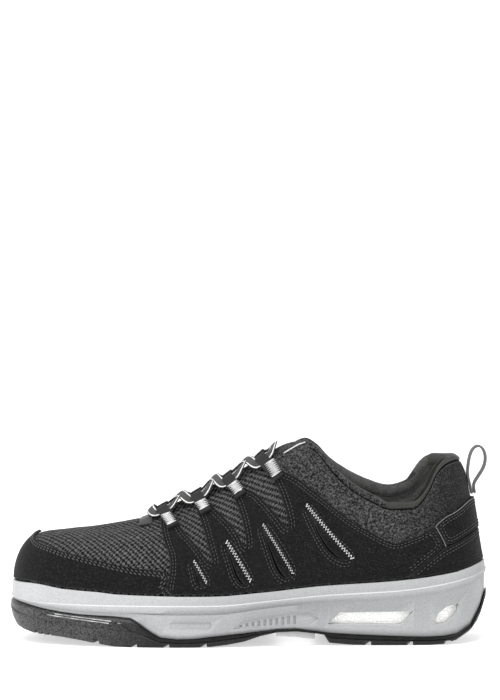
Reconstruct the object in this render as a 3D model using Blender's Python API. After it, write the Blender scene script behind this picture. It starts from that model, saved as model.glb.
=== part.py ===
"""Safety sneaker: one left shoe, EU 42, standing empty on its sole.

Metres, +Z up. The toe points to -X and the heel to +X, and the lateral side faces -Y. The origin is on
the floor below the middle of the sole's box. Every piece of the upper is taken from one skin: ribs that
rise from the feather line, where upper and midsole meet, to the collar, the throat's edge or the ridge
of the vamp.
"""

import math

import bmesh
import bpy
import numpy as np
from mathutils import Vector
from mathutils.geometry import delaunay_2d_cdt

# Driving sizes of the shoe
LENGTH = 0.303
BALL_WIDTH = 0.108
SOLE_HEIGHT = 0.0505       # floor to the midsole's rim at the back of the heel
HEEL_RISE = 0.086          # lowest rim to the top of the heel's back
INSTEP_RISE = 0.0975       # lowest rim to the top of the tongue
TOE_RISE = 0.0375          # lowest rim to the ridge over the toes

# Walls, clearances and edges
GAP = 0.0003               # between pieces that are glued or sewn together
WALL = 0.0024              # knitted upper with its lining
COLLAR_WALL = 0.0056       # padded collar
RIM_WIDTH = 0.0034         # midsole's rim outside the feather line
TUCK = 0.0016              # upper's foot drawn in below the feather line
OVERLAY = 0.0012           # microfibre overlays
STRAP_EXTRA = 0.0006       # band around the heel over the other overlays' thickness
INSOLE = 0.0042
TONGUE = 0.0034
WEBBING = 0.0009
LACE_WIDTH = 0.0062
LACE = 0.0013

LATERAL, MEDIAL = -1, 1
PATH_STEPS = 12            # steps of the fine outline between two of its rows
CORE_STEPS = 8
CUT_REACH = 0.6            # cutters reach this far out from the middle, as a share of BALL_WIDTH
UP = Vector((0.0, 0.0, 1.0))
TINY = 1e-6
SIDE_PULL = 0.008          # how much a rib's top handle follows its foot's own side
TURN_SCALE = 6.0           # turn against rise while a patch is divided, so that its cells are square
TONGUE_UNDER = 0.009       # tongue's margin under the upper, from the throat's edge
TONGUE_CLEAR = 0.0006
TONGUE_SHOULDER = 0.74     # height of the tongue halfway to its crown, as a share of the crown's
PAD_FROM, PAD_OVER = 0.45, 0.30          # rise where the collar's padding starts, and the rise it takes
PAD_PAST, PAD_FADE = 0.02, 0.06          # turn where it ends past the collar's corner, and the turn it takes
PATCH_MARGIN = 0.03        # cutting lines of an overlay run this far past it, in turn and in rise
EYE_OUT, EYE_UP = 0.28, 0.62
# The webbing's way around the eye: out from and above the throat's edge, as shares of LOOP_EYE
EYE_PATH = (
    (0.66, 0.30), (0.68, 0.70), (0.46, 1.02), (0.14, 1.06), (-0.08, 0.80), (-0.02, 0.44), (0.24, 0.16),
)
LOOP_LIFT = 0.0005         # webbing's loops over the fingers, which curve under them
LOOP_LEGS = (0.0, 0.45, 0.85)            # places of a loop's legs, from its foot to the throat's edge
LACE_STEPS = 8
LACE_END = 0.0024          # lace's runs end this far from the loops
LACE_TURN = 0.0075         # how far a run keeps on along the throat before it turns over the tongue
LACE_HOLD = 0.4            # share of a run in which its face still turns away from the loop's way
LACE_LEAN = 0.4            # lean of a run's face towards the toe
LACE_CROSS = 0.0005        # lift of a crossing's upper run

# Stretches of each side from the heel's back (0) to the toe's tip (1), with the stations in each
STRETCHES = (
    # ends at, stations
    (0.052, 2), (0.118, 2), (0.200, 3), (0.344, 4), (0.349, 1), (0.358, 1), (0.372, 1), (0.440, 2),
    (0.560, 4), (0.648, 3), (0.700, 4), (0.760, 2), (0.830, 2), (0.900, 3), (0.950, 2), (1.000, 3),
)

# The sole's outline: widths are shares of BALL_WIDTH, on the lateral (-Y) and the medial (+Y) side
OUTLINE = (
    # place along LENGTH from the toe, lateral, medial
    (0.000, -0.040, 0.040), (0.010, 0.110, 0.175), (0.035, 0.227, 0.287), (0.080, 0.333, 0.380),
    (0.150, 0.417, 0.454), (0.240, 0.474, 0.491), (0.340, 0.500, 0.497), (0.440, 0.486, 0.446),
    (0.540, 0.444, 0.378), (0.640, 0.403, 0.338), (0.740, 0.384, 0.340), (0.830, 0.380, 0.362),
    (0.900, 0.356, 0.347), (0.950, 0.292, 0.287), (0.985, 0.167, 0.162), (1.000, 0.000, 0.000),
)

# Lines along the sole: place along LENGTH from the toe, height as a share of SOLE_HEIGHT
RIM_LINE = (
    (0.000, 0.741), (0.054, 0.749), (0.124, 0.697), (0.193, 0.673), (0.226, 0.651), (0.289, 0.638),
    (0.384, 0.626), (0.434, 0.626), (0.500, 0.653), (0.566, 0.687), (0.639, 0.733), (0.777, 0.784),
    (0.847, 0.824), (0.893, 0.863), (0.932, 0.903), (0.987, 0.996), (1.000, 1.010),
)
STEP_LINE = (
    (0.000, 0.574), (0.064, 0.525), (0.186, 0.519), (0.434, 0.519), (0.533, 0.564), (0.665, 0.634),
    (0.814, 0.685), (0.893, 0.752), (0.959, 0.832), (1.000, 0.911),
)
LEDGE_LINE = (
    (0.000, 0.550), (0.038, 0.512), (0.087, 0.475), (0.163, 0.436), (0.236, 0.426), (0.434, 0.426),
    (0.526, 0.489), (0.579, 0.523), (0.665, 0.554), (0.761, 0.570), (0.807, 0.598), (0.870, 0.638),
    (0.909, 0.679), (0.959, 0.747), (1.000, 0.881),
)
SEAM_LINE = (
    (0.000, 0.523), (0.013, 0.515), (0.038, 0.491), (0.087, 0.438), (0.163, 0.390), (0.236, 0.376),
    (0.262, 0.356), (0.272, 0.315), (0.300, 0.200), (0.319, 0.129), (0.336, 0.103), (0.384, 0.107),
    (0.431, 0.137), (0.490, 0.170), (0.536, 0.198), (0.576, 0.218), (0.616, 0.214), (0.648, 0.174),
    (0.690, 0.150), (0.814, 0.115), (0.870, 0.107), (0.916, 0.117), (0.948, 0.178), (0.964, 0.250),
    (0.980, 0.392), (0.989, 0.535), (1.000, 0.660),
)
TREAD_LINE = (
    (0.000, 0.356), (0.004, 0.285), (0.010, 0.234), (0.017, 0.196), (0.031, 0.164), (0.048, 0.139),
    (0.068, 0.123), (0.097, 0.115), (0.134, 0.091), (0.170, 0.059), (0.223, 0.008), (0.249, 0.000),
    (0.408, 0.000), (0.431, 0.012), (0.479, 0.048), (0.502, 0.083), (0.538, 0.150), (0.576, 0.180),
    (0.616, 0.178), (0.648, 0.140), (0.659, 0.130), (0.666, 0.036), (0.708, 0.010), (0.738, 0.000),
    (0.889, 0.000), (0.916, 0.024), (0.939, 0.079), (0.955, 0.137), (0.969, 0.200), (0.982, 0.310),
    (0.990, 0.400), (1.000, 0.575),
)
FLOOR_LINE = (
    (0.000, 0.614), (0.038, 0.594), (0.087, 0.554), (0.170, 0.515), (0.302, 0.475), (0.500, 0.495),
    (0.632, 0.554), (0.814, 0.634), (0.929, 0.653), (1.000, 0.663),
)
LOW_RIM = 0.626            # lowest share in RIM_LINE: the upper's rises start there

# Ribs of the skin. Top places are shares of LENGTH from the middle and of BALL_WIDTH, and the heights
# are shares of the named rise. Lean is the slope at the top in degrees, 90 for upright. Flare is how far
# the foot's handle swings out, as a share of BALL_WIDTH. Start and end are the handles' lengths, as
# shares of the rib's rise and of its chord.
RIBS = (
    # foot, top x, top y, rise, lateral, medial, lean, flare, start, end
    (0.000, 0.4377, 0.0000, "heel", 0.986, 0.986, 62, -0.055, 0.40, 0.30),
    (0.052, 0.4290, 0.1080, "heel", 1.000, 1.000, 68, -0.030, 0.40, 0.30),
    (0.118, 0.4092, 0.1810, "heel", 0.982, 0.995, 76, 0.004, 0.42, 0.32),
    (0.146, 0.3894, 0.2220, "heel", 0.918, 0.995, 80, 0.018, 0.44, 0.34),
    (0.169, 0.3696, 0.2450, "heel", 0.775, 0.943, 82, 0.026, 0.44, 0.36),
    (0.194, 0.3400, 0.2680, "heel", 0.670, 0.800, 84, 0.032, 0.45, 0.38),
    (0.231, 0.2970, 0.2820, "heel", 0.667, 0.753, 84, 0.034, 0.45, 0.38),
    (0.271, 0.2508, 0.2820, "instep", 0.642, 0.705, 82, 0.030, 0.45, 0.38),
    (0.311, 0.2079, 0.2730, "instep", 0.723, 0.770, 79, 0.024, 0.44, 0.36),
    (0.350, 0.1716, 0.2550, "instep", 0.831, 0.850, 74, 0.016, 0.42, 0.34),
    (0.387, 0.1420, 0.2360, "instep", 0.943, 0.945, 68, 0.010, 0.41, 0.32),
    (0.416, 0.1188, 0.2180, "instep", 0.979, 0.979, 64, 0.004, 0.40, 0.31),
    (0.444, 0.0792, 0.1940, "instep", 0.916, 0.916, 58, 0.000, 0.39, 0.30),
    (0.479, 0.0330, 0.1760, "instep", 0.818, 0.818, 52, -0.004, 0.38, 0.30),
    (0.522, -0.0231, 0.1660, "instep", 0.711, 0.711, 45, -0.006, 0.38, 0.31),
    (0.564, -0.0825, 0.1560, "instep", 0.605, 0.605, 37, -0.004, 0.40, 0.34),
    (0.612, -0.1485, 0.1440, "instep", 0.516, 0.516, 28, 0.000, 0.44, 0.38),
    (0.655, -0.1990, 0.1140, "instep", 0.469, 0.469, 18, 0.004, 0.48, 0.42),
    (0.677, -0.2200, 0.0700, "toe", 1.195, 1.195, 8, 0.006, 0.50, 0.44),
    (0.700, -0.2294, 0.0000, "toe", 1.189, 1.189, 0, 0.007, 0.52, 0.46),
    (0.721, -0.2574, 0.0000, "toe", 1.141, 1.141, 0, 0.007, 0.54, 0.47),
    (0.756, -0.2970, 0.0000, "toe", 1.085, 1.085, 0, 0.007, 0.57, 0.49),
    (0.790, -0.3300, 0.0000, "toe", 1.053, 1.053, 0, 0.006, 0.60, 0.50),
    (0.824, -0.3580, 0.0000, "toe", 1.037, 1.037, 0, 0.005, 0.62, 0.49),
    (0.854, -0.3795, 0.0000, "toe", 1.016, 1.016, 0, 0.004, 0.62, 0.47),
    (0.883, -0.3960, 0.0000, "toe", 1.003, 1.003, 0, 0.003, 0.61, 0.44),
    (0.908, -0.4060, 0.0000, "toe", 0.995, 0.995, 0, 0.002, 0.60, 0.41),
    (0.937, -0.4125, 0.0000, "toe", 0.987, 0.987, 0, 0.001, 0.58, 0.37),
    (1.000, -0.4158, 0.0000, "toe", 0.981, 0.981, 0, 0.000, 0.54, 0.32),
)
SPINE = 0.700              # from this foot on, both sides' ribs meet on the vamp's ridge
CORNER = 0.416             # foot of the rib to the collar's front corner
ROWS = (0.0, 0.13, 0.30, 0.48, 0.66, 0.84, 1.0)

# The tongue's sections under the ribs: foot of the rib, height of the crown over the throat's edge as a
# share of INSTEP_RISE
CROWN = (
    (0.416, 0.004), (0.428, 0.023), (0.444, 0.042), (0.460, 0.060), (0.479, 0.063), (0.522, 0.064),
    (0.564, 0.074), (0.612, 0.056), (0.640, 0.050), (0.655, 0.045), (0.672, 0.020), (0.684, -0.030),
)

# The midsole's sides from the seam up, and the outsole's from the seam down. The shares are of the way
# between the two lines, and an upright ring takes its heights at the outline's own x.
SEAM_INSET = 0.0022
SIDE_INSET = 0.0014
MIDSOLE_RINGS = (
    # inset from the outline, lower line, upper line, share of the way up
    (SEAM_INSET, SEAM_LINE, LEDGE_LINE, 0.0), (0.0016, SEAM_LINE, LEDGE_LINE, 0.15),
    (SIDE_INSET, SEAM_LINE, LEDGE_LINE, 0.92), (0.0006, LEDGE_LINE, STEP_LINE, 0.0),
    (0.0002, LEDGE_LINE, STEP_LINE, 0.85), (0.0010, LEDGE_LINE, STEP_LINE, 1.0),
    (0.0016, STEP_LINE, RIM_LINE, 1.0), (RIM_WIDTH - GAP, STEP_LINE, RIM_LINE, 1.0),
)
OUTSOLE_RINGS = (
    # inset from the outline, share of the way down from the seam to the tread, whether upright
    (0.0005, 0.14, True), (0.0002, 0.36, True), (0.0008, 0.43, True), (0.0, 0.50, True),
    (0.0006, 0.84, True), (0.0030, 1.0, False),
)

# Overlays as (turn, rise) on the skin, which Skin explains. Each is half of the piece or one side of it.
OVERLAY_FOOT = 0.02        # lower edge of the overlays, just clear of the midsole's rim
GUARD_EDGE = (
    (1.000, 0.86), (0.975, 0.83), (0.940, 0.70), (0.902, 0.55), (0.858, 0.46), (0.818, 0.39),
    (0.777, 0.335), (0.733, 0.285), (0.675, 0.25), (0.631, 0.24), (0.640, OVERLAY_FOOT),
)
QUARTER_EDGE = (
    (0.638, OVERLAY_FOOT), (0.629, 0.24), (0.628, 0.41), (0.635, 0.54), (0.639, 0.70), (0.640, 0.90),
    (0.632, 0.95), (0.620, 0.95), (0.612, 0.88), (0.605, 0.68), (0.588, 0.53), (0.573, 0.39),
    (0.562, 0.29), (0.554, 0.29), (0.562, 0.42), (0.570, 0.62), (0.580, 0.86), (0.577, 0.95),
    (0.565, 0.95), (0.556, 0.84), (0.543, 0.71), (0.525, 0.57), (0.509, 0.43), (0.502, 0.34),
    (0.496, 0.34), (0.503, 0.50), (0.513, 0.66), (0.524, 0.82), (0.530, 0.95), (0.519, 0.96),
    (0.508, 0.86), (0.488, 0.76), (0.464, 0.60), (0.442, 0.46), (0.430, 0.38), (0.424, 0.38),
    (0.434, 0.52), (0.448, 0.68), (0.464, 0.84), (0.475, 0.95), (0.466, 0.96), (0.450, 0.84),
    (0.422, 0.72), (0.395, 0.66), (0.338, 0.63), (0.307, 0.59), (0.275, 0.54), (0.240, 0.45),
    (0.225, 0.44), (0.205, 0.49), (0.182, 0.51), (0.162, 0.475), (0.145, 0.215), (0.176, 0.17),
    (0.198, 0.08), (0.214, OVERLAY_FOOT),
)
COUNTER_EDGE = (
    (0.211, OVERLAY_FOOT), (0.195, 0.08), (0.173, 0.165), (0.140, 0.205), (0.100, 0.240), (0.033, 0.272),
    (0.000, 0.276),
)
STRAP_EDGE = (
    (0.000, 0.285), (0.033, 0.283), (0.070, 0.275), (0.105, 0.250), (0.142, 0.215), (0.159, 0.465),
    (0.138, 0.470), (0.107, 0.490), (0.070, 0.530), (0.000, 0.550),
)
# Slots cut like blades through the quarter: top turn and rise, foot turn and rise, width in turn
BLADES = (
    (0.590, 0.33, 0.568, 0.12, 0.010),
    (0.535, 0.44, 0.490, 0.09, 0.014),
    (0.473, 0.47, 0.415, 0.09, 0.016),
    (0.400, 0.53, 0.310, 0.21, 0.022),
)
# A slot's outline, straight on its heel side and bowed on its toe side
BLADE_SHAPE = (
    # share of the way from foot to top, share of the width, drop in rise
    (1.0, 0.0, 0.0), (0.5, 0.0, 0.0), (0.0, 0.0, 0.0), (0.0, 0.7, 0.03), (0.2, 1.0, 0.04), (0.5, 0.6, 0.04),
)

# Lace loops on each side of the throat: turn at the throat's edge, turn and rise of the loop's foot
LOOPS = (
    (0.631, 0.618, 0.74), (0.576, 0.565, 0.79), (0.529, 0.511, 0.79), (0.476, 0.449, 0.77),
)
LOOP_WIDTH = 0.0075
LOOP_EYE = 0.0062          # how far the eye stands above the throat's edge
LACE_LIFT = 0.0006         # lace over the tongue's crown

PULL_WIDTH = 0.009
PULL_STRAP = 0.0016
PULL_HEIGHT = 0.0186       # free eye of the pull loop above its seat
PULL_INNER = (0.585, 0.68, 0.78)         # rises of its inner leg, up to the seat
PULL_OUTER = (0.66, 0.585)               # rises of its outer leg, down from the eye
# Free part of the pull loop: away from the heel and up, as shares of PULL_HEIGHT
PULL_EYE = (
    (0.03, 0.30), (0.07, 0.62), (0.16, 0.86), (0.31, 0.99), (0.45, 0.97), (0.56, 0.85), (0.62, 0.67),
    (0.62, 0.48), (0.58, 0.29), (0.48, 0.10), (0.36, -0.08), (0.26, -0.24),
)

# Openings and recesses of the midsole's wall: place along LENGTH, height as a share of SOLE_HEIGHT
WINDOW_WALL = 0.006        # midsole's wall in front of the bead foam
WINDOW_PAST = 0.003        # how far the windows' cutters reach past that wall, into the foam's pocket
WINDOW_FACE = (
    (0.6865, 0.416), (0.8436, 0.432), (0.8152, 0.238), (0.8086, 0.206), (0.6452, 0.210), (0.6650, 0.303),
)
WINDOW_BACK = (
    (0.6890, 0.410), (0.8380, 0.422), (0.8170, 0.277), (0.8100, 0.265), (0.6690, 0.281), (0.6716, 0.313),
)
OVAL_FACE = (
    (0.8703, 0.230), (0.8733, 0.202), (0.9053, 0.220), (0.9224, 0.277), (0.9389, 0.386), (0.9505, 0.545),
    (0.9323, 0.519), (0.9092, 0.491), (0.8911, 0.412), (0.8795, 0.307),
)
OVAL_BACK = (
    (0.8860, 0.281), (0.8910, 0.265), (0.9060, 0.285), (0.9190, 0.341), (0.9267, 0.412), (0.9300, 0.487),
    (0.9240, 0.495), (0.9086, 0.473), (0.8934, 0.400), (0.8858, 0.325),
)
CORE = (0.6500, 0.9330, 0.250, 0.520)   # bead foam: from place, to place, lower and upper height
ARCH_PANEL = (
    # place along LENGTH, lower and upper height as shares of SOLE_HEIGHT
    (0.470, 0.222, 0.232), (0.487, 0.225, 0.309), (0.508, 0.230, 0.334), (0.528, 0.234, 0.356),
    (0.552, 0.238, 0.376), (0.576, 0.242, 0.394), (0.599, 0.246, 0.407), (0.622, 0.256, 0.418),
    (0.644, 0.333, 0.343),
)
PANEL_DEPTH = 0.0010
ARCH_RIBS = (0.482, 0.0122, 10, 0.0062)  # first slot's place, pitch, count and width along LENGTH
RIB_DEPTH = 0.0020
SLOT_MARGIN = 0.025        # panel above and below a slot, as a share of SOLE_HEIGHT
PILL = (0.345, 0.418, 0.270, 0.0022)     # from place, to place, height, radius in metres
PILL_DEPTH = 0.0009

# Grooves of the tread: place along LENGTH, width and depth in metres
GROOVES = (
    (0.040, 0.0016, 0.0014), (0.056, 0.0016, 0.0014), (0.0726, 0.0016, 0.0014),
    (0.1766, 0.0040, 0.0026), (0.2574, 0.0040, 0.0026), (0.325, 0.0040, 0.0026),
    (0.401, 0.0040, 0.0026), (0.731, 0.0040, 0.0026), (0.817, 0.0040, 0.0026), (0.893, 0.0040, 0.0026),
)
GROOVE_SWEEP = 0.012       # how far a groove's middle lies nearer to the heel
CHANNEL = (0.0045, 0.0022)               # width and depth of the grooves along the middle
CHANNELS = ((0.200, 0.440), (0.700, 0.880))

# Underside of the arch plate: place along LENGTH, height as a share of SOLE_HEIGHT
PLATE_LINE = ((0.540, 0.120), (0.609, 0.091), (0.660, 0.045))
PLATE_FEET = (0.372, 0.406, 0.440)
PLATE_INSET = 0.008


def place_x(place):
    """X of a place along the sole, counted from the toe."""
    return (place - 0.5) * LENGTH


def ease(table, column, at):
    """A column of a table at a given place, drawn as a smooth line that never overshoots its rows."""
    places = np.array([row[0] for row in table])
    values = np.array([row[column] for row in table])
    steps = np.diff(places)
    slopes = np.diff(values) / steps
    tangents = np.zeros(len(values))
    same_way = slopes[:-1] * slopes[1:] > 0
    before, after = slopes[:-1][same_way], slopes[1:][same_way]
    tangents[1:-1][same_way] = 2 * before * after / (before + after)
    tangents[0], tangents[-1] = slopes[0], slopes[-1]
    index = int(np.clip(np.searchsorted(places, at) - 1, 0, len(steps) - 1))
    step = steps[index]
    t = min(max((at - places[index]) / step, 0.0), 1.0)
    return float(
        values[index] * (1 + 2 * t) * (1 - t) ** 2
        + tangents[index] * step * t * (1 - t) ** 2
        + values[index + 1] * t * t * (3 - 2 * t)
        - tangents[index + 1] * step * t * t * (1 - t)
    )


def sole_z(line, x):
    """Height of one of the sole's lines at x."""
    return SOLE_HEIGHT * ease(line, 1, x / LENGTH + 0.5)


def side_path(side):
    """One side of the sole's outline as a fine path from the heel's back to the toe's tip."""
    column = 1 if side < 0 else 2
    points = [
        Vector((place_x(row[0]), side * row[column] * BALL_WIDTH, 0.0)) for row in reversed(OUTLINE)
    ]
    beyond_heel = Vector((points[1].x, -points[1].y, 0.0))
    beyond_toe = Vector((points[-2].x, -side * OUTLINE[1][3 - column] * BALL_WIDTH, 0.0))
    chain = [beyond_heel] + points + [beyond_toe]
    fine = []
    for index in range(1, len(chain) - 2):
        a, b, c, d = chain[index - 1:index + 3]
        reach = (c - b).length
        start = (c - a) * reach / (reach + (b - a).length)
        end = (d - b) * reach / (reach + (d - c).length)
        for step in range(PATH_STEPS):
            t = step / PATH_STEPS
            fine.append(
                b * (1 + 2 * t) * (1 - t) ** 2 + start * t * (1 - t) ** 2
                + c * t * t * (3 - 2 * t) - end * t * t * (1 - t)
            )
    fine.append(points[-1].copy())
    return fine


def station_shares():
    """Shares along a side, from the heel's back to the toe's tip, where every ring has its points."""
    shares = [0.0]
    for end, count in STRETCHES:
        start = shares[-1]
        shares += [start + (end - start) * (step + 1) / count for step in range(count)]
    return shares


def measured_path(side):
    """The side's path with the distance gone at each of its points."""
    path = side_path(side)
    gone = [0.0]
    for before, after in zip(path, path[1:]):
        gone.append(gone[-1] + (after - before).length)
    return path, gone


SHARES = station_shares()
LAST = len(SHARES) - 1
PATHS = {side: measured_path(side) for side in (LATERAL, MEDIAL)}


def outline_point(side, share):
    """Point of the outline at a share of its side, with the direction straight out of the shoe."""
    path, gone = PATHS[side]
    goal = share * gone[-1]
    index = min(int(np.searchsorted(gone, goal, side="right")) - 1, len(path) - 2)
    t = (goal - gone[index]) / (gone[index + 1] - gone[index])
    before = path[max(index - 1, 0)]
    after = path[min(index + 2, len(path) - 1)]
    along = after - before
    if share in (0.0, 1.0):
        along = Vector((0.0, side if share == 0.0 else -side, 0.0))
    out = Vector((-along.y, along.x, 0.0)) * -side
    return path[index].lerp(path[index + 1], t), out.normalized()


def around(point_at):
    """A closed ring of points: heel's back, lateral side, toe's tip, medial side."""
    lateral = [point_at(LATERAL, share) for share in SHARES]
    medial = [point_at(MEDIAL, share) for share in SHARES[-2:0:-1]]
    return lateral + medial


def sole_ring(inset, height, upright=False):
    """Ring inside the sole's outline at a height that depends on x, or on the outline's x if upright."""
    def point_at(side, share):
        edge, out = outline_point(side, share)
        point = edge - out * inset
        point.z = height(edge.x if upright else point.x)
        return point
    return around(point_at)


def outline_y(side, x):
    """Y of the outline at x."""
    path = PATHS[side][0][::-1]
    return float(np.interp(x, [point.x for point in path], [point.y for point in path]))


def between(low, high, share):
    """Height a share of the way from one of the sole's lines to another."""
    return lambda x: sole_z(low, x) * (1 - share) + sole_z(high, x) * share


def finish_material(name, colour, roughness, metallic=0.0):
    """A Principled material."""
    material = bpy.data.materials.new(name)
    material.use_nodes = True
    shader = material.node_tree.nodes["Principled BSDF"]
    shader.inputs["Base Color"].default_value = (*colour, 1.0)
    shader.inputs["Roughness"].default_value = roughness
    shader.inputs["Metallic"].default_value = metallic
    return material


def add_solid(name, vertices, faces, material):
    """A closed mesh as an object of its own, with its faces pointing out."""
    mesh = bpy.data.meshes.new(name)
    mesh.from_pydata([tuple(vertex) for vertex in vertices], [], faces)
    piece = bmesh.new()
    piece.from_mesh(mesh)
    bmesh.ops.recalc_face_normals(piece, faces=piece.faces)
    piece.to_mesh(mesh)
    piece.free()
    mesh.materials.append(material)
    mesh.shade_smooth()
    mesh.set_sharp_from_angle(angle=math.radians(35))
    solid = bpy.data.objects.new(name, mesh)
    bpy.context.collection.objects.link(solid)
    return solid


def ladder(start, count):
    """Faces that span a ring of count points from side to side, rung by rung."""
    half = count // 2
    faces = [(start, start + 1, start + count - 1), (start + half - 1, start + half, start + half + 1)]
    for rung in range(1, half - 1):
        faces.append((start + rung, start + rung + 1, start + count - rung - 1, start + count - rung))
    return faces


def add_stack(name, rings, material):
    """Solid whose skin runs from ring to ring and is closed by a ladder at both ends."""
    count = len(rings[0])
    vertices = [point for ring in rings for point in ring]
    faces = ladder(0, count) + ladder(count * (len(rings) - 1), count)
    for level in range(len(rings) - 1):
        low = level * count
        for index in range(count):
            after = (index + 1) % count
            faces.append((low + index, low + after, low + count + after, low + count + index))
    return add_solid(name, vertices, faces, material)


def prism(outline, low, high, axis):
    """Vertices and faces of an outline drawn out along Y ("y") or Z ("z"), which may taper.

    The outline is a list of pairs, or two lists of as many pairs for the two ends."""
    ends = outline if isinstance(outline[0][0], tuple) else (outline, outline)
    count = len(ends[0])
    vertices = []
    for pairs, place in zip(ends, (low, high)):
        for first, second in pairs:
            vertices.append((first, place, second) if axis == "y" else (first, second, place))
    faces = [tuple(range(count)), tuple(range(count, 2 * count))]
    for index in range(count):
        after = (index + 1) % count
        faces.append((index, after, count + after, count + index))
    return vertices, faces


def from_shares(pairs):
    """Places and heights along the sole in metres."""
    return [(place_x(place), height * SOLE_HEIGHT) for place, height in pairs]


def wall_shape(side, face, depth, back=None):
    """Cutter shape sunk into one side of the sole, which follows its outline."""
    vertices = [(x, side * BALL_WIDTH * CUT_REACH, z) for x, z in face]
    vertices += [(x, outline_y(side, x) - side * depth, z) for x, z in back or face]
    count = len(face)
    faces = [tuple(range(count)), tuple(range(count, 2 * count))]
    faces += [(i, (i + 1) % count, count + (i + 1) % count, count + i) for i in range(count)]
    return vertices, faces


def panel_shape(side, columns, depth):
    """Cutter shape as deep all along one side of the sole, with columns of a place and two heights."""
    vertices = []
    for place, low, high in columns:
        x = place_x(place)
        for y in (side * BALL_WIDTH * CUT_REACH, outline_y(side, x) - side * depth):
            vertices += [(x, y, low * SOLE_HEIGHT), (x, y, high * SOLE_HEIGHT)]
    faces = []
    for start in range(0, 4 * (len(columns) - 1), 4):
        for a, b in ((0, 1), (1, 3), (3, 2), (2, 0)):
            faces.append((start + a, start + b, start + b + 4, start + a + 4))
    end = 4 * (len(columns) - 1)
    faces += [(0, 1, 3, 2), (end, end + 2, end + 3, end + 1)]
    return vertices, faces


def add_cutter(name, shapes):
    """One hidden cutter made of separate closed shapes."""
    vertices, faces = [], []
    for shape_vertices, shape_faces in shapes:
        start = len(vertices)
        vertices += shape_vertices
        faces += [tuple(start + index for index in face) for face in shape_faces]
    cutter = add_solid(name, vertices, faces, MATERIALS["rubber"])
    cutter.hide_render = True
    cutter.display_type = "WIRE"
    return cutter


def cut(target, cutter):
    """Subtract the cutter from the target."""
    boolean = target.modifiers.new(cutter.name, "BOOLEAN")
    boolean.operation = "DIFFERENCE"
    boolean.solver = "EXACT"
    boolean.object = cutter


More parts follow.
